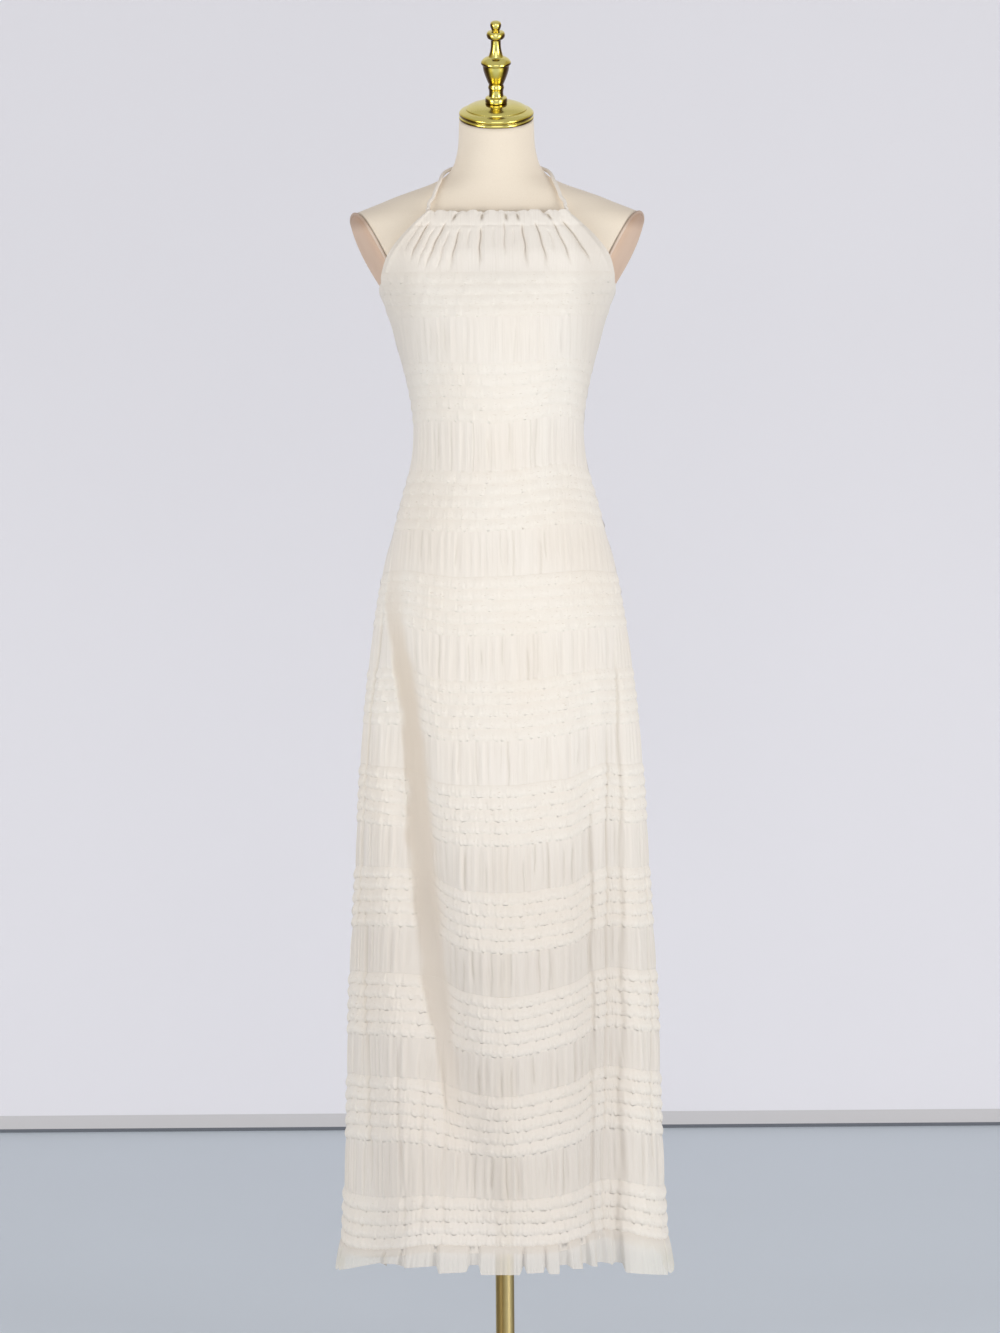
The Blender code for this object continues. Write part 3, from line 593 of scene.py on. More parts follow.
def fold_lines(turn, height):
    """The depth of the sharp fold lines at each point, and how near the deepest is, from 0 to 1."""
    down = share_down(height)
    depth, near = 0.0 * turn, 0.0 * turn
    for line in FOLD_LINES:
        begun = ease((line.top - height) / 0.06) * ease((height - line.foot) / 0.04)
        middle = line.hip_turn + (line.hem_turn - line.hip_turn) * down
        middle = middle + 0.5 * np.sin(height * 41 + line.hip_turn)
        away = signed(turn - middle) / line.half_turn
        core = bell(away) * begun
        depth = np.maximum(depth, line.depth * (0.6 * core + 0.4 * bell(away / 3) * begun))
        near = np.maximum(near, core * line.depth / 0.0045)
    return depth, near


def gather_valleys(turn, arc, place, zone):
    """The deepest of a zone's small sharp valleys at each point, from 0 to 1: the marked ones, and between
    them shallower ones at uneven places. Each is a Gaussian across, fades along its length, and leans."""
    chance = np.random.default_rng(500 + zone)
    in_front = turn.min() > -91 and turn.max() < 91
    marked = [at for marks in GATHER_MARKS if marks.zone == zone and in_front for at in marks.turns]
    metres = float(np.abs(np.diff(arc, axis=1)).mean() / np.abs(np.diff(turn, axis=1)).mean())
    places = arc.min() + np.cumsum(0.0019 + chance.gamma(1.5, 0.0031, 260))
    lines = [(middle, chance.uniform(0.12, 0.62)) for middle in places[places < arc.max()]]
    lines += [(at * metres, chance.uniform(1.1, 1.7)) for at in marked]
    deepest = 0.0 * arc
    for middle, depth in lines:
        width = chance.uniform(0.0006, 0.0011) + 0.0003 * (depth > 0.8)
        start, end = chance.uniform(-0.5, 0.35), chance.uniform(0.7, 1.5)
        lean, sway = chance.uniform(-0.0030, 0.0030), chance.uniform(0, 6.3)
        line = middle + lean * (place - 0.5) + 0.0005 * np.sin(place * 7 + sway)
        reach = ease((place - start) / 0.16) * ease((end - place) / 0.16)
        deepest = np.maximum(deepest, depth * reach * bell((arc - line) / width))
    return deepest


def all_valleys(turn, arc, rows):
    """The small sharp valleys of every zone of gathers in a panel."""
    valley = 0.0 * arc
    for zone in np.unique(rows.zone[rows.gather > 0]):
        at = rows.zone[:, 0] == zone
        valley[at] = gather_valleys(turn[at], arc[at], rows.place[at], zone)
    return valley


def relief(turn, arc, rows):
    """How far the cloth stands out: the row's own offset, fuller and flatter in turns of 17 to 43 mm, flutes
    on the frills, and in the gathers soft swells of 9 to 31 mm cut by small sharp valleys. Returns it with
    the painted shade of the creases, 1 in the deepest valleys, and the hollow."""
    height, zone, place = rows.height, rows.zone, rows.place
    hollow = smooth_hollow(turn, height)
    flutes = wave_sum(arc, FLUTES, zone)
    crinkle = pleats(arc, CRINKLES, zone)
    swell = 0.5 * wave_sum(arc, BROAD_SWELLS, zone + 13) + 0.8 * wave_sum(arc, NARROW_SWELLS, zone + 61)
    swell = swell + 0.3 * wave_sum(arc, TURNING_SWELLS, zone + 41) * np.cos(place * 3.0)
    valley = all_valleys(turn, arc, rows)
    depths = np.array(GATHER_DEPTHS)[np.minimum(zone, len(GATHER_DEPTHS) - 1)]
    full = band_fullness(rows)
    patchy = 0.80 - 0.75 * full
    uneven = 1 + patchy * (wave_sum(arc, UNEVEN_TUCKS, zone + 23) - 0.6)
    flutes_here = bell((turn + 63) / 11) + 0.6 * bell((turn - 58) / 12)
    uneven = np.clip(uneven, 0.06, 1.15) * (1 + 0.7 * flutes_here * ease((1.02 - height) / 0.08))
    free = 0.25 + 0.75 * np.sqrt(np.clip(np.sin(math.pi * np.clip(place, 0, 1)), 0, 1))
    fluted = FLUTE_RISE * flutes + CRINKLE_RISE * (crinkle - 0.6)
    stand = (rows.out - ROOT_OFFSET) * uneven + rows.frill * full * fluted
    stand = ROOT_OFFSET + stand * (1 - 0.95 * hollow)
    gathered = rows.gather * free * depths * (SWELL_RISE * swell + 0.0004 - VALLEY_DEPTH * valley)
    stand = stand + gathered * (1 - 0.9 * hollow)
    depth, near = fold_lines(turn, height)
    away, half, strength = hollow_place(turn, height)
    lip = strength * bell((away + half + 1.8) / 1.8)
    stand = stand - depth + HOLLOW_LIP_RISE * lip - HOLLOW_DEPTH * hollow
    # Painted shade: at the hollow's edge by the flute and in its left part, in the gathers' valleys and the
    # troughs of their swells, and along the fold lines.
    edge = strength * bell((away + half - 0.4) / 1.3)
    shade = 0.75 * valley + 0.45 * np.clip(0.1 - swell, 0, 1) * free
    dark = hollow * bell((away + 0.70 * half) / (0.60 * half))
    crease = rows.gather * shade * depths * (1 - hollow) + 0.8 * near + 0.22 * edge + 0.34 * dark
    return stand, np.clip(crease, 0, 1), hollow


def lip_drop(arc, rows):
    """How much lower a tuck hangs in places, most at its lip: cosine sums of 5 to 41 mm."""
    hangs = np.where(rows.frill > 0, rows.place, 0.0) ** 1.5
    slow = wave_sum(arc, SLOW_DROPS, rows.zone + 50)
    quick = wave_sum(arc, QUICK_DROPS, rows.zone + 70)
    return hangs * (0.0001 + 0.0014 * band_fullness(rows) ** 2) * (1.2 * slow + 1.7 * quick)


def arc_on(turns, height):
    """Metres round the cloth from the centre, at turns measured from it."""
    return np.radians(turns) * smooth_column(DRESS_SECTIONS, "half_width", height) * ARC_SHARE


def make_panel(name, rows, turns, centre_turn):
    """A panel of rows and columns, whose UV map holds the arc and the height. Tucks hang down by their
    lip's drop, and the whole row is lifted as ROW_LIFTS says."""
    arc = arc_on(turns - centre_turn, rows.height)
    stand, crease, hollow = relief(turns, arc, rows)
    hang = (rows.hang - lip_drop(arc, rows)) * (1 - hollow)
    level = rows.height + row_lift(turns, rows.height) + hang
    points = on_cloth(turned_back(turns, rows.height), level, stand)
    frill = rows.frill * (1 - hollow)
    band = np.where(rows.gather > 0, 0.0, 1.0) * (1 - hollow)
    return surface(name, points, arc, rows.height, frill=frill, crease=crease, band=band, hollow=hollow)


def front_turns(height, columns):
    """Turns of a front row's columns. Over the armholes the edge is let out a little, more at +X."""
    let_out = np.sin(math.pi * np.clip((height - 1.484) / 0.094, 0, 1))
    share = np.linspace(-1, 1, columns)[None, :]
    return front_edge_turn(height) * share * (1 + let_out * np.where(share < 0, 0.025, 0.045))


def back_turns(height, columns):
    """Turns of a back row's columns, from one side seam to the other."""
    gap = np.degrees(SEAM_GAP / 2 / smooth_column(DRESS_SECTIONS, "back", height))
    share = np.linspace(0, 1, columns)[None, :]
    return 90 + gap + (180 - 2 * gap) * share


def front_panel(name, first, last, columns):
    """A stretch of the front panel, from one band of tucks to another."""
    rows = panel_rows(NECKLINE, first, last)
    return make_panel(name, rows, front_turns(rows.height, columns), 0.0)


def back_panel(name, first, last, columns):
    """A stretch of the back panel, from one band of tucks to another."""
    rows = panel_rows(BACK_TOP, first, last)
    return make_panel(name, rows, back_turns(rows.height, columns), 180.0)


def halter_rows():
    """Rows from the neckline to the first band: the casing, its seam, and the chest's gathers below."""
    seam, foot = NECKLINE - CASING_SEAM, band_top(TUCK_BANDS[0])
    chest = np.linspace(seam - 0.001, foot, 50)
    rows = [Row(height, CASING_ZONE) for height in np.linspace(NECKLINE + 0.0005, seam, 20)]
    rows += [Row(h, CHEST_ZONE, place=(chest[0] - h) / (chest[0] - foot)) for h in chest]
    return columns_of(rows)


def halter(name):
    """The halter: soft tubes between the sharp valleys of NECK_VALLEYS. A valley is a narrow Gaussian
    with a wider one round it, from its start to its end. The casing is puffed between its edge and its seam
    and drawn in at NECK_NOTCHES, and both armhole edges are rolled."""
    rows = halter_rows()
    height = rows.height
    turns = front_turns(height, HALTER_COLUMNS)
    share = turns / front_edge_turn(height)
    arc = arc_on(turns, height)
    seam = NECKLINE - CASING_SEAM
    core, wide = 0.0 * share, 0.0 * share
    for fold in NECK_VALLEYS:
        along = (fold.start - height) / (fold.start - fold.end)
        reach = ease((along + 0.14) / 0.22) * ease((1.12 - along) / 0.50)
        line = fold.top + (fold.foot - fold.top) * along + 0.0035 * np.sin(height * 230 + fold.top * 19)
        strong = fold.depth / 0.0050 * reach
        core = np.maximum(core, strong * bell((share - line) / 0.0095))
        wide = np.maximum(wide, strong * bell((share - line) / 0.036))
    settle = np.where(rows.zone == CHEST_ZONE, 1 - ease((rows.place - 0.45) / 0.55), 1.0)
    fine = pleats(arc, CHEST_CRINKLES, CHEST_ZONE)
    stand = ROOT_OFFSET + CHEST_EASE * settle - NECK_SHOULDER_DEPTH * wide - NECK_VALLEY_DEPTH * core
    stand = stand + 0.0007 * (fine - 0.5) * settle
    inside = np.clip((height - seam) / CASING_SEAM, 0, 1.1)
    puff = CASING_PUFF * np.sin(math.pi * np.clip(inside, 0, 1)) ** 0.7 - 0.0010
    puff = np.where(height > seam, puff, 0)
    pinch = bell((height - seam + 0.0012 * np.sin(share * 23)) / 0.0016)
    pit, notch = 0.0 * share, 0.0 * share
    for middle in NECK_NOTCHES:
        pit = np.maximum(pit, bell((share - middle) / 0.018) * bell((inside - 0.62) / 0.20))
        notch = np.maximum(notch, bell((share - middle) / 0.045) * ease((inside - 0.60) / 0.35))
    stand = stand + puff * (1 - 0.6 * wide) - 0.0004 * pinch - PIT_DEPTH * pit - NOTCH_DEPTH * notch
    edge_roll = bell((np.abs(share) - 0.965) / 0.030)
    right_roll = bell((share - 0.925) / 0.060) * ease(1 - (seam - height) / 0.080)
    stand = stand + EDGE_ROLL * edge_roll + RIGHT_EDGE_ROLL * right_roll
    scallop = pleats(arc, CASING_SCALLOPS, 60)
    points = on_cloth(turns, height, np.maximum(stand, SEAM_GAP))
    points[..., 2] += ease((inside - 0.55) / 0.45) * (0.0034 * (scallop - 0.62) - 0.0026 * notch)
    # Painted shade in the neck's valleys, along the casing's seam and in the pits of the notches.
    crease = np.clip(core * 0.58 + 0.12 * wide + 0.06 * pinch + 1.9 * pit, 0, 1)
    return surface(name, points, arc, height, crease=crease)


# ---------------------------------------------------------------- hem frill


def lobes_push(turn, lobes):
    """1 on a lobe's flat front, falling over LOBE_FALL degrees to 0 in the gap beside it; and its drop."""
    push, drop = 0.0 * turn, 0.0 * turn
    for lobe in lobes:
        on = ease((turn - lobe.first) / LOBE_FALL + 0.5) * ease((lobe.last - turn) / LOBE_FALL + 0.5)
        along = np.clip((turn - lobe.first) / (lobe.last - lobe.first), 0, 1)
        push = np.maximum(push, on)
        drop = drop + on * 0.001 * (lobe.drop_first + (lobe.drop_last - lobe.drop_first) * along)
    return push, drop


def back_lobes():
    """Lobes of uneven width all across the back strip."""
    widths = 6.5 + 5.5 * np.abs(np.sin(np.arange(40) * 2.3 + 0.7))
    lobes, at = [], 91.0
    for k, width in enumerate(widths):
        if at + width > 269:
            break
        lobes.append(Lobe(at, at + width, 2 * math.sin(k * 1.7) - 2, 2 * math.sin(k * 2.9) - 2))
        at += width + 2.2
    return tuple(lobes)


def hem_frill(name, first, last, columns, lobes):
    """The hem's frill, from under the last tuck: its push out to the lobes grows with the square root of
    the way down, and the flat lobes hang lower than the gaps between them."""
    turns = np.linspace(first, last, columns)[None, :]
    place = np.linspace(0, 1, FRILL_ROWS)[:, None]
    push, drop = lobes_push(turns, lobes)
    foot = HEM_SEAM - 0.0005 - FRILL_LENGTH
    arc = np.radians(turns) * FRILL_RADIUS
    fine = wave_sum(arc, FRILL_WAVES, 77)
    out = 0.0012 + np.sqrt(place) * (LOBE_RISE * push - GAP_DEPTH) + place * FLUTE_RISE * fine
    even = FRILL_TOP + (foot - FRILL_TOP) * place
    points = on_cloth(turns, even + row_lift(turns, FRILL_TOP) * (1 - ease(place)), out)
    points[..., 2] -= ease(place) * (drop - GAP_LIFT * (1 - push))
    # Painted shade in the gaps between the lobes and along the frill's top under the last tuck.
    crease = np.clip(1 - push, 0, 1) * ease(place * 2.5) * 0.9 + 0.5 * (1 - ease(place / 0.3))
    return surface(name, points, arc, even, crease=crease, sheer=ease(place * 1.6))


# ---------------------------------------------------------------- neck cord


def neck_cord_line():
    """The cord's centreline: from one end of the neckline, over the shoulder, round the nape and back."""
    last = CORD_STOPS[-1].station
    stations = np.linspace(0, 2 * last, 12 * last + 1)
    half = np.minimum(stations, 2 * last - stations)
    turns, heights, lifts = (
        smooth_column(CORD_STOPS, column, half, "station") for column in ("turn", "height", "lift")
    )
    turns = np.where(stations > last, 360 - turns, turns)
    line = on_form(turns, heights, (CORD_RADIUS + CORD_CLEARANCE + lifts)[:, None])
    line[[0, -1]] = on_cloth(turns[[0, -1]], NECKLINE, 0.0)
    line[[0, -1], 2] += CORD_SEAT
    return line


def tube(name, line, radius, sides):
    """A tube carried along a line: each ring lies square to the line, and the end rings shrink to a point."""
    ahead = unit(np.gradient(line, axis=0))
    side = unit(np.cross(ahead, [0.0, 0.0, 1.0]))
    up = np.cross(side, ahead)
    angle = np.linspace(0, 2 * math.pi, sides, endpoint=False)
    ring = np.cos(angle)[None, :, None] * side[:, None, :] + np.sin(angle)[None, :, None] * up[:, None, :]
    steps = np.concatenate([[0], np.cumsum(np.linalg.norm(np.diff(line, axis=0), axis=1))])
    plump = 1 + 0.05 * np.sin(steps * 900)[:, None, None]
    points = line[:, None, :] + radius * plump * ring
    first, last = np.repeat(line[:1, None, :], sides, 1), np.repeat(line[-1:, None, :], sides, 1)
    points = np.concatenate([first, points, last])
    along = np.concatenate([steps[:1], steps, steps[-1:]])[:, None]
    return surface(name, points[:, ::-1], angle[None, :] * radius, along, closed_round=True)


# ---------------------------------------------------------------- dress form


def arm_plate_normal(side):
    """Outward direction of an armhole's plane, at +X for side 1 and at -X for side -1."""
    across = math.cos(ARM_PLATE_DOWN) * math.cos(ARM_PLATE_FORWARD)
    forward = math.cos(ARM_PLATE_DOWN) * math.sin(ARM_PLATE_FORWARD)
    return np.array([side * across, -forward, -math.sin(ARM_PLATE_DOWN)])


def arm_plate_place(side):
    """A point of the armhole's plane."""
    return np.array(ARM_PLATE_PLACE) * (side, 1, 1)


def neck_axis():
    """Direction in which the neck points, tipped towards the front."""
    return np.array([0.0, -math.sin(NECK_TILT), math.cos(NECK_TILT)])


def pressed_to(points, place, normal, where):
    """Points beyond a plane are pressed back onto it, where the mask says so."""
    beyond = np.clip((points - place) @ normal, 0, None) * where
    return points - beyond[..., None] * normal


def torso(name):
    """The form with its neck, pressed flat at the neck's top and at both armholes, closed at both ends."""
    turns = np.linspace(0, 360, TORSO_COLUMNS, endpoint=False)[None, :]
    stretches = ((0.808, 1.40, 24), (1.405, 1.66, 120), (1.664, 1.738, 14))
    heights = np.concatenate([np.linspace(*stretch) for stretch in stretches])[:, None]
    points = form(turns, heights)
    points = pressed_to(points, NECK_PLACE, neck_axis(), 1.0)
    for side in (1, -1):
        where = (points[..., 2] > ARMHOLE_LOWEST) & (points[..., 0] * side > 0)
        points = pressed_to(points, arm_plate_place(side), arm_plate_normal(side), where)
    foot, top = points[:1].mean(axis=1, keepdims=True), points[-1:].mean(axis=1, keepdims=True)
    inner = foot + (points[:1] - foot) * 0.9
    closing = [np.repeat(end, TORSO_COLUMNS, 1) for end in (foot, top)]
    points = np.concatenate([closing[0], inner, points, closing[1]])
    along = np.concatenate([[0.80, 0.804], heights[:, 0], [1.74]])[:, None]
    return surface(name, points, np.radians(turns) * 0.13, along, closed_round=True)


def armhole_outline(side, count):
    """Where the armhole's plane meets the form, found along rays in the plane by halving the interval."""
    normal, place = arm_plate_normal(side), arm_plate_place(side)
    centre = place + ARM_PLATE_CENTRE
    centre = centre - ((centre - place) @ normal) * normal
    first = unit(np.cross(normal, [0.0, 0.0, 1.0]))
    second = np.cross(normal, first)
    _, ray = rays(count, first, second)
    low, high = np.zeros(count), np.full(count, 0.09)
    for _ in range(30):
        middle = (low + high) / 2
        point = centre + middle[:, None] * ray
        wide, front, back = (smooth_column(FORM_SECTIONS, name, point[:, 2]) for name in Section._fields[1:])
        deep = np.where(point[:, 1] < 0, front, back)
        inside = (point[:, 0] / wide) ** 2 + (point[:, 1] / deep) ** 2 < 1
        low, high = np.where(inside, middle, low), np.where(inside, high, middle)
    return centre, ray, low, normal


# Down the arm plate from its piped edge to its centre: height over the plane, share of the outline's radius.
PLATE_PROFILE = table_of(
    Turned,
    (0.0004, 1.010), (0.0012, 1.030), (0.0024, 1.036), (0.0036, 1.024), (0.0040, 1.000),
    (0.0035, 0.976), (0.0030, 0.962), (0.0044, 0.930), (0.0064, 0.860), (0.0080, 0.720),
    (0.0090, 0.500), (0.0094, 0.250), (0.0095, 0.000),
)


def arm_plate(name, side):
    """A shallow dome on the armhole's own outline, with a piped edge: rings of the outline scaled towards
    its centre and lifted along the plane's normal, through PLATE_PROFILE."""
    centre, ray, reach, normal = armhole_outline(side, PLATE_COLUMNS)
    steps = np.linspace(0, len(PLATE_PROFILE) - 1, PLATE_ROWS)
    scale, lift = through(PLATE_PROFILE, "radius", steps), through(PLATE_PROFILE, "along", steps)
    ring = (reach[None, :] * scale[:, None])[..., None] * ray[None]
    points = centre + ring + lift[:, None, None] * normal
    if side < 0:
        points = points[:, ::-1]
    round_it, inwards = np.linspace(0, 0.4, PLATE_COLUMNS)[None, :], scale[::-1, None] * PLATE_UV_RADIUS
    return surface(name, points[::-1], round_it, inwards, closed_round=True)


# ---------------------------------------------------------------- brass

FINIAL_PROFILE = table_of(
    Turned,
    (0.1250, 0.0000), (0.1248, 0.0035), (0.1232, 0.0062), (0.1200, 0.0073), (0.1165, 0.0068),
    (0.1135, 0.0056), (0.1122, 0.0056), (0.1112, 0.0094), (0.1098, 0.0112), (0.1062, 0.0122),
    (0.1026, 0.0112), (0.1008, 0.0092), (0.0998, 0.0072), (0.0970, 0.0066), (0.0900, 0.0068),
    (0.0840, 0.0078), (0.0790, 0.0092), (0.0768, 0.0104), (0.0758, 0.0132), (0.0738, 0.0166),
    (0.0706, 0.0193), (0.0688, 0.0198), (0.0672, 0.0196), (0.0660, 0.0180), (0.0648, 0.0176),
    (0.0600, 0.0170), (0.0540, 0.0154), (0.0480, 0.0132), (0.0430, 0.0112), (0.0400, 0.0098),
    (0.0380, 0.0100), (0.0352, 0.0106), (0.0325, 0.0098), (0.0290, 0.0094), (0.0250, 0.0097),
    (0.0232, 0.0104), (0.0225, 0.0130), (0.0212, 0.0142), (0.0180, 0.0146), (0.0152, 0.0142),
    (0.0149, 0.0120),
)

CAP_PROFILE = table_of(
    Turned,
    (0.0128, 0.0000), (0.0128, 0.0120), (0.0127, 0.0165), (0.0120, 0.0240), (0.0102, 0.0312),
    (0.0082, 0.0362), (0.0060, 0.0398), (0.0050, 0.0404), (0.0040, 0.0412), (0.0030, 0.0446),
    (0.0012, 0.0480), (-0.0012, 0.0494), (-0.0034, 0.0488), (-0.0044, 0.0478), (-0.0056, 0.0490),
    (-0.0074, 0.0494), (-0.0088, 0.0486), (-0.0090, 0.0470),
)


def lathe(name, profile, base, axis, sides, steps_a_row=4, bright_turn=0.0):
    """A profile turned round an axis: a cubic curve through the profile's rows, carried round a circle.
    Its painted reflection is high where the surface faces up the axis, and waves three times round it."""
    steps = np.linspace(0, len(profile) - 1, (len(profile) - 1) * steps_a_row + 1)
    radius, along = np.clip(through(profile, "radius", steps), 0, None), through(profile, "along", steps)
    first = unit(np.cross([0.0, 1.0, 0.0], axis))
    angle, ring = rays(sides, first, np.cross(axis, first))
    points = np.asarray(base) + radius[:, None, None] * ring[None] + along[:, None, None] * np.asarray(axis)
    # Painted reflection: high where the surface faces up the axis, and in three bright and three dark bands
    # round it, brightest towards bright_turn.
    upward = unit(np.stack([-np.gradient(along), np.gradient(radius)], axis=-1))[:, 1:]
    wave = np.cos(3 * (angle + math.pi / 2 - math.radians(bright_turn)))[None, :]
    gleam = np.clip(0.42 + 0.80 * upward + 0.75 * wave * (1 - np.abs(upward)), 0, 1)
    return surface(name, points, angle[None, :] * 0.02, along[:, None], closed_round=True, gleam=gleam)


def straight(*rows):
    """A profile of straight stretches: rows close to both ends of each one keep its corners crisp."""
    out = []
    for a, b in zip(rows, rows[1:]):
        for share in (0.0, 0.04, 0.5, 0.96):
            out.append(Turned(*(start + (end - start) * share for start, end in zip(a, b))))
    return (*out, Turned(*rows[-1]))


# ---------------------------------------------------------------- materials


class Link:
    """A socket of a material's nodes. Arithmetic on it adds Math nodes."""

    def __init__(self, paint, socket):
        self.paint, self.socket = paint, socket

    def maths(self, operation, *values):
        """A Math node on the given values."""
        return self.paint.node("ShaderNodeMath", {"operation": operation}, dict(enumerate(values)))

    def __add__(self, other):
        return self.maths("ADD", self, other)

    def __sub__(self, other):
        return self.maths("SUBTRACT", self, other)

    def __rsub__(self, other):
        return self.maths("SUBTRACT", other, self)

    def __mul__(self, other):
        return self.maths("MULTIPLY", self, other)

    __radd__ = __add__
    __rmul__ = __mul__

    def between(self, low, high):
        """0 below low, 1 above high."""
        settings = {"clamp": True, "interpolation_type": "SMOOTHSTEP"}
        inputs = {"Value": self, "From Min": low, "From Max": high}
        return self.paint.node("ShaderNodeMapRange", settings, inputs)


class Paint:
    """A material with its Principled shader."""

    def __init__(self, name):
        self.material = bpy.data.materials.new(name)
        self.material.use_nodes = True
        self.tree = self.material.node_tree
        self.shader = self.tree.nodes["Principled BSDF"]

    def node(self, kind, settings=None, inputs=None, output=0):
        """Adds a node: its settings first, then the values or links of its sockets."""
        made = self.tree.nodes.new(kind)
        for key, value in (settings or {}).items():
            setattr(made, key, value)
        for key, value in (inputs or {}).items():
            self.put(self.socket(made.inputs, key), value)
        return Link(self, self.socket(made.outputs, output))

    @staticmethod
    def socket(sockets, key):
        """A socket by its number, its identifier or its name."""
        if isinstance(key, int):
            return sockets[key]
        return next((s for s in sockets if s.identifier == key), None) or sockets[key]

    def put(self, socket, value):
        """Sets a socket's value, or links it."""
        if isinstance(value, Link):
            self.tree.links.new(value.socket, socket)
        else:
            socket.default_value = value

    def set(self, **inputs):
        """Sets the shader's own sockets; an underscore stands for a space."""
        for key, value in inputs.items():
            self.put(self.shader.inputs[key.replace("_", " ")], value)

    def mixed(self, share, first, second):
        """Mixes two colours by a share."""
        settings = {"data_type": "RGBA", "blend_type": "MIX", "clamp_factor": True}
        inputs = {"Factor_Float": share, "A_Color": first, "B_Color": second}
        return self.node("ShaderNodeMix", settings, inputs, "Result_Color")

    def attribute(self, name):
        """One of the mesh's own grids of numbers; 0 on a mesh that hasn't got it."""
        return self.node("ShaderNodeAttribute", {"attribute_name": name}, output="Fac")

    def scaled(self, source, scale):
        """UV or Object coordinates, stretched by a scale for each axis."""
        where = self.node("ShaderNodeTexCoord", output=source)
        return self.node("ShaderNodeMapping", {}, {"Vector": where, "Scale": scale})

    def along(self, source, axis):
        """One of the UV or Object coordinates, in metres."""
        where = self.node("ShaderNodeTexCoord", output=source)
        return self.node("ShaderNodeSeparateXYZ", {}, {"Vector": where}, axis)

    def noise(self, source, scale, detail, rough=0.5):
        """Cloudy noise with about this many spots a metre along each axis."""
        inputs = {"Vector": self.scaled(source, scale), "Scale": 1.0, "Detail": detail, "Roughness": rough}
        return self.node("ShaderNodeTexNoise", {}, inputs, "Fac")

    def weave(self, direction):
        """Fine threads that run one way and waver a little."""
        inputs = {"Vector": self.scaled("UV", (320, 320, 1)), "Distortion": 1.5, "Detail": 1.0}
        return self.node("ShaderNodeTexWave", {"bands_direction": direction}, inputs, "Fac")

    def bump(self, height, strength, distance, normal=None):
        """Low relief from a height, on top of the normal that is given."""
        inputs = {"Height": height, "Strength": strength, "Distance": distance}
        if normal is not None:
            inputs["Normal"] = normal
        return self.node("ShaderNodeBump", {}, inputs)


def colour(red, green, blue):
    """A colour from its 0 to 255 screen values."""
    linear = [((v / 255 + 0.055) / 1.055) ** 2.4 if v > 10 else v / 255 / 12.92 for v in (red, green, blue)]
    return (*linear, 1.0)


def crinkled_cloth():
    """Semi-sheer ivory cloth: whiter and closer on the frills, with greyer painted shade in the gathers'
    valleys, the hollow, the creases, under the arm and towards the hem, fine upright crinkles and a weave.
    Below the form it lets a little of what is behind it through."""
    paint = Paint("ivory_crinkled_cloth")
    frill, crease, band = paint.attribute("frill"), paint.attribute("crease"), paint.attribute("band")
    hollow, sheer = paint.attribute("hollow"), paint.attribute("sheer")
    upright = paint.noise("UV", (620, 9, 1), 3.0, 0.6)
    soft = paint.noise("Object", (7, 7, 5), 2.0)
    picot = paint.noise("UV", (190, 300, 1), 2.0, 0.6)
    fleck = paint.noise("UV", (130, 420, 1), 1.0)
    base = paint.mixed(band, colour(248, 241, 232), colour(246, 239, 229))
    base = paint.mixed(frill * frill * 0.5, base, colour(251, 245, 236))
    base = paint.mixed(soft.between(0.35, 0.75) * 0.35, base, colour(243, 230, 214))
    base = paint.mixed(upright.between(0.52, 0.72) * (1 - band) * 0.24, base, colour(222, 212, 198))
    base = paint.mixed(picot.between(0.60, 0.72) * band * 0.28, base, colour(224, 210, 194))
    base = paint.mixed(fleck.between(0.66, 0.75) * frill * 0.45, base, colour(204, 188, 168))
    # Painted shade in the hollow where the flute turns back, and in the creases and valleys that the shade
    # attribute marks.
    base = paint.mixed(hollow * 0.75, base, colour(228, 211, 190))
    base = paint.mixed(crease * 0.50, base, colour(196, 186, 170))
    base = paint.mixed(sheer * 0.80, base, colour(233, 231, 221))
    height, sideways = paint.along("Object", "Z"), paint.along("Object", "X")
    apart = sideways * sideways
    # Painted shade under the arm, at the sides of the bust.
    painted_underarm_shade = apart.between(0.007, 0.016) * height.between(1.22, 1.34)
    base = paint.mixed(painted_underarm_shade * 0.6, base, colour(224, 215, 204))
    # Painted shade: darker towards the hem below the form, where the skirt hangs over its dark inside, and
    # less so on the flutes at the sides.
    flute = apart.between(0.018, 0.040)
    shaded = (1 - height.between(0.35, 1.20)) * (0.62 - 0.42 * flute)
    base = paint.mixed(shaded, base, colour(226, 217, 208))
    paint.set(Base_Color=base, Roughness=0.86, Sheen_Weight=0.2, Sheen_Roughness=0.5, Specular_IOR_Level=0.2)
    low = 1 - height.between(0.62, 0.86)
    paint.set(Alpha=0.97 - low * (0.12 - 0.08 * band) - sheer * 0.10)
    normal = paint.bump(paint.weave("X") * 0.5 + paint.weave("Y") * 0.5, 0.10, 0.0002)
    normal = paint.bump(picot * (0.2 + 0.8 * band), 0.24, 0.0008, normal)
    normal = paint.bump(upright * (1 - 0.6 * band) * (1 - 0.7 * hollow), 0.30, 0.0012, normal)
    paint.set(Normal=normal)
    return paint.material


def knit_cover(paint, base, thread, roughness):
    """Finishes a jersey: a fine knit over its colour, and a soft sheen."""
    knit = paint.noise("Object", (900, 900, 900), 1.0)
    base = paint.mixed(knit.between(0.45, 0.8) * 0.12, base, thread)
    paint.set(Base_Color=base, Roughness=roughness, Sheen_Weight=0.15, Sheen_Roughness=0.4)
    paint.set(Normal=paint.bump(knit, 0.08, 0.0003))
    return paint.material


def form_cover():
    """Smooth beige jersey."""
    paint = Paint("beige_form_cover")
    soft = paint.noise("Object", (9, 9, 7), 2.0)
    base = paint.mixed(soft.between(0.3, 0.75) * 0.5, colour(247, 234, 215), colour(242, 227, 206))
    return knit_cover(paint, base, colour(214, 190, 168), 0.72)


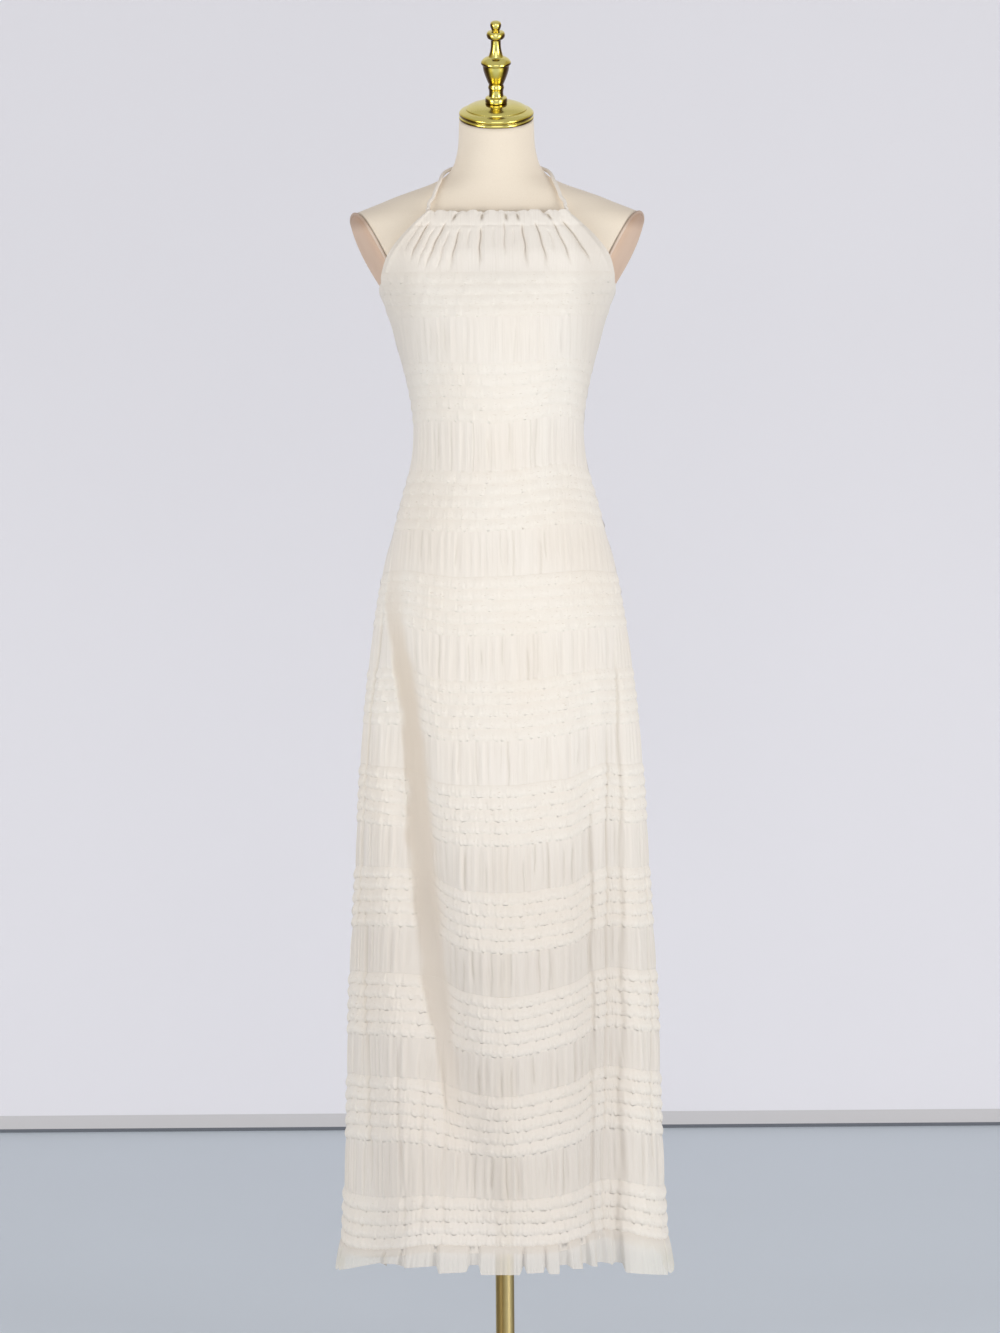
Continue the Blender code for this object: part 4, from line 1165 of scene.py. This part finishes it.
def plate_cover():
    """The same jersey, blusher, over the arm plates, with a paler piped edge and a shaded top."""
    paint = Paint("blush_plate_cover")
    soft = paint.noise("Object", (24, 24, 16), 2.0)
    outwards, height = paint.along("UV", "Y"), paint.along("Object", "Z")
    base = paint.mixed(soft.between(0.3, 0.75) * 0.5, colour(222, 192, 168), colour(212, 180, 155))
    base = paint.mixed(outwards.between(0.0655, 0.069), base, colour(231, 210, 192))
    base = paint.mixed(height.between(1.558, 1.574) * 0.6, base, colour(160, 126, 102))
    return knit_cover(paint, base, colour(196, 166, 146), 0.7)


def brass(name, pale, tint, dark, roughness):
    """Polished brass with painted reflections: a pale painted highlight where it faces up or the light, and
    dark painted reflections in the bands that its painted reflection attribute gives, with faint clouding and
    fine turning lines."""
    paint = Paint(name)
    gleam = paint.attribute("gleam")
    cloud = paint.noise("Object", (60, 60, 60), 3.0)
    lines = paint.noise("Object", (40, 40, 1400), 1.0)
    place = gleam + (cloud - 0.5) * 0.25
    base = paint.mixed(place.between(0.52, 0.95), tint, pale)
    base = paint.mixed(place.between(0.0, 0.50), dark, base)
    paint.set(Base_Color=base, Metallic=1.0, Roughness=roughness + cloud * 0.08)
    paint.set(Normal=paint.bump(lines, 0.04, 0.0002))
    return paint.material


def dimmed(tint, share):
    """A colour multiplied by a share."""
    return (*(share * value for value in tint[:3]), 1.0)


def plain(name, tint, roughness, glow=0.0, fade=1.0):
    """A studio surface with a faint mottle, and the strength of the even glow that it gives off, which fades
    to the given share between the foot of the wall and 1.5 m. Its back isn't seen."""
    paint = Paint(name)
    mottle = paint.noise("Object", (1.5, 1.5, 1.5), 2.0).between(0.3, 0.7)
    paint.set(Base_Color=paint.mixed(mottle, tint, dimmed(tint, 0.985)), Roughness=roughness)
    paint.set(Alpha=1 - paint.node("ShaderNodeNewGeometry", output="Backfacing"))
    faded = paint.mixed(paint.along("Object", "Z").between(0.0, 1.5), tint, dimmed(tint, fade))
    paint.set(Emission_Color=faded, Emission_Strength=glow)
    return paint.material


# ---------------------------------------------------------------- studio

STUDIO_HALF_WIDTH = 9


def flat_quad(name, corners, material):
    """One flat quad of the studio."""
    mesh = bpy.data.meshes.new(name)
    mesh.from_pydata(corners, [], [(0, 1, 2, 3)])
    mesh.materials.append(material)
    added(name, mesh)


def upright_quad(name, y, low, high, material):
    """A quad that stands across the studio at y, between two heights."""
    half = STUDIO_HALF_WIDTH
    flat_quad(name, [(-half, y, low), (half, y, low), (half, y, high), (-half, y, high)], material)


def area_light(name, place, target, side, power):
    """A square warm-white light that faces a point."""
    light = bpy.data.lights.new(name, "AREA")
    light.shape = "RECTANGLE"
    light.size, light.size_y = side, side
    light.energy = power
    light.color = (1.0, 0.985, 0.96)
    made = added(name, light)
    made.location = place
    made.rotation_euler = (Vector(target) - Vector(place)).to_track_quat("-Z", "Y").to_euler()


def studio():
    """A pale floor, a pale wall with its skirting over a dark gap, and soft light from three sides."""
    floor = plain("pale_floor", colour(211, 220, 228), 0.45, 0.02)
    wall = plain("pale_wall", colour(236, 234, 239), 0.9, 0.14, 0.70)
    skirting = plain("grey_skirting", colour(224, 221, 222), 0.7)
    gap = plain("dark_gap", colour(118, 122, 130), 0.8)
    half = STUDIO_HALF_WIDTH
    flat_quad("floor", [(-half, -half, 0), (half, -half, 0), (half, half, 0), (-half, half, 0)], floor)
    upright_quad("wall", 2.17, 0, 6, wall)
    upright_quad("skirting", 2.16, 0.007, 0.031, skirting)
    upright_quad("gap", 2.165, 0, 0.007, gap)
    area_light("key", (0.2, -5.3, 2.2), (0, 0, 1.35), 3.0, 34)
    area_light("left", (-2.6, -2.2, 1.0), (0, 0, 0.35), 1.4, 34)
    area_light("right", (2.6, -2.1, 1.0), (0, 0, 0.34), 1.4, 43)
    world = bpy.context.scene.world or bpy.data.worlds.new("studio")
    bpy.context.scene.world = world
    world.use_nodes = True
    shade = world.node_tree.nodes["Background"]
    shade.inputs["Color"].default_value = (0.95, 0.945, 0.955, 1.0)
    shade.inputs["Strength"].default_value = 0.50
    bpy.context.scene.view_settings.view_transform = "Standard"


def camera():
    """A long lens 6.5 m in front of the dress at chest height, tipped down and rolled slightly."""
    eye, aim = Vector((0.0, -6.5, 1.44)), Vector((-0.0005, 0.0, 0.9818))
    half_height, roll = 0.8881, math.radians(-0.42)
    ahead = (aim - eye).normalized()
    right = ahead.cross(Vector((0, 0, 1))).normalized()
    up = right.cross(ahead)
    turned_right = right * math.cos(roll) + up * math.sin(roll)
    turned_up = up * math.cos(roll) - right * math.sin(roll)
    data = bpy.data.cameras.new("camera")
    data.sensor_width = 36
    data.lens = 18 / (half_height / (aim - eye).length)
    made = added("camera", data)
    made.matrix_world = Matrix((turned_right, turned_up, -ahead)).transposed().to_4x4()
    made.location = eye
    bpy.context.scene.camera = made


# ---------------------------------------------------------------- the dressed part


def dress_up(piece, material, node):
    """Gives a piece its material and its body, and hides the solid that it stands for."""
    piece.data.materials.append(material)
    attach(piece, "root")
    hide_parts(node)


def make_cord(cloth_paint):
    """The neck cord, tight from one end of the neckline round the nape to the other."""
    line = neck_cord_line()
    cord = tube("neck_cord_rouleau", line, CORD_LOOK_RADIUS, 16)
    dress_up(cord, cloth_paint, "neck_cord")
    path = [tuple(float(v) for v in point) for point in line]


def make_dress(cloth_paint):
    """The panels and the frills; each is listed with its flat width and height in metres, which the code
    doesn't use.
    """
    front, back, frill = "dress_front", "dress_back", (0.75, 0.042)
    pieces = [
        (halter("dress_halter"), front, (0.36, 0.083)),
        (front_panel("dress_front_bodice", 0, 2, 440), front, (0.40, 0.40)),
        (front_panel("dress_front_hip", 3, 4, 480), front, (0.50, 0.30)),
        (front_panel("dress_front_skirt", 5, 6, 520), front, (0.60, 0.30)),
        (front_panel("dress_front_lower", 7, 9, 560), front, (0.66, 0.42)),
        (back_panel("dress_back_bodice", 0, 4, 270), back, (0.48, 0.70)),
        (back_panel("dress_back_skirt", 5, 9, 290), back, (0.64, 0.76)),
        (hem_frill("hem_frill_front_strip", -89.9, 89.9, 700, FRONT_LOBES), "hem_frill_front", frill),
        (hem_frill("hem_frill_back_strip", 90.1, 269.9, 500, back_lobes()), "hem_frill_back", frill),
    ]
    for piece, node, flat in pieces:
        dress_up(piece, cloth_paint, node)


def make_form():
    """The form's cover, its arm plates, and the brass cap and finial on its neck."""
    plates = plate_cover()
    gold = brass("polished_brass", colour(250, 236, 140), colour(224, 198, 80), colour(84, 58, 16), 0.13)
    dress_up(torso("form_body"), form_cover(), "form_torso")
    dress_up(arm_plate("arm_plate_left_cover", 1), plates, "form_arm_plate_left")
    dress_up(arm_plate("arm_plate_right_cover", -1), plates, "form_arm_plate_right")
    axis = neck_axis()
    cap_base = NECK_PLACE + axis * (SEAM_GAP - CAP_PROFILE[-1].along)
    dress_up(lathe("neck_cap_turned", CAP_PROFILE, cap_base, axis, 96), gold, "form_neck_cap")
    finial_base = cap_base + axis * (CAP_PROFILE[0].along + SEAM_GAP - FINIAL_PROFILE[-1].along)
    dress_up(lathe("finial_turned", FINIAL_PROFILE, finial_base, axis, 56), gold, "form_finial")


def make_stand():
    """The pole, the base and the socket that joins them, each turned round the upright axis."""
    dull = brass("pole_brass", colour(208, 188, 134), colour(182, 160, 106), colour(150, 126, 76), 0.30)
    floor = BASE_THICKNESS + SEAM_GAP
    bore = POLE_RADIUS + SEAM_GAP
    socket_top = floor + SOCKET_HEIGHT
    pole = straight((POLE_TOP, 0.0), (POLE_TOP, POLE_RADIUS), (floor, POLE_RADIUS), (floor, 0.0))
    base = straight(
        (BASE_THICKNESS, 0.0),
        (BASE_THICKNESS, BASE_RADIUS - 0.0030),
        (BASE_THICKNESS - 0.0009, BASE_RADIUS - 0.0009),
        (BASE_THICKNESS - 0.0030, BASE_RADIUS),
        (0.0, BASE_RADIUS),
        (0.0, 0.0),
    )
    socket = straight(
        (socket_top, bore),
        (socket_top, bore + 0.0040),
        (floor + 0.012, bore + 0.0050),
        (floor + 0.006, bore + 0.0192),
        (floor, bore + 0.0212),
        (floor, bore),
        (socket_top, bore),
    )
    turned = (("pole", pole, 72, 25.0), ("base", base, 128, 0.0), ("socket", socket, 72, 0.0))
    for word, profile, sides, bright_turn in turned:
        made = lathe(word + "_turned", profile, (0, 0, 0), np.array([0.0, 0.0, 1.0]), sides, 2, bright_turn)
        dress_up(made, dull, "stand_" + word)


def main():
    """The camera and the studio first, then the cord, the dress, the form and its stand."""
    camera()
    studio()
    cloth_paint = crinkled_cloth()
    make_cord(cloth_paint)
    make_dress(cloth_paint)
    make_form()
    make_stand()


main()
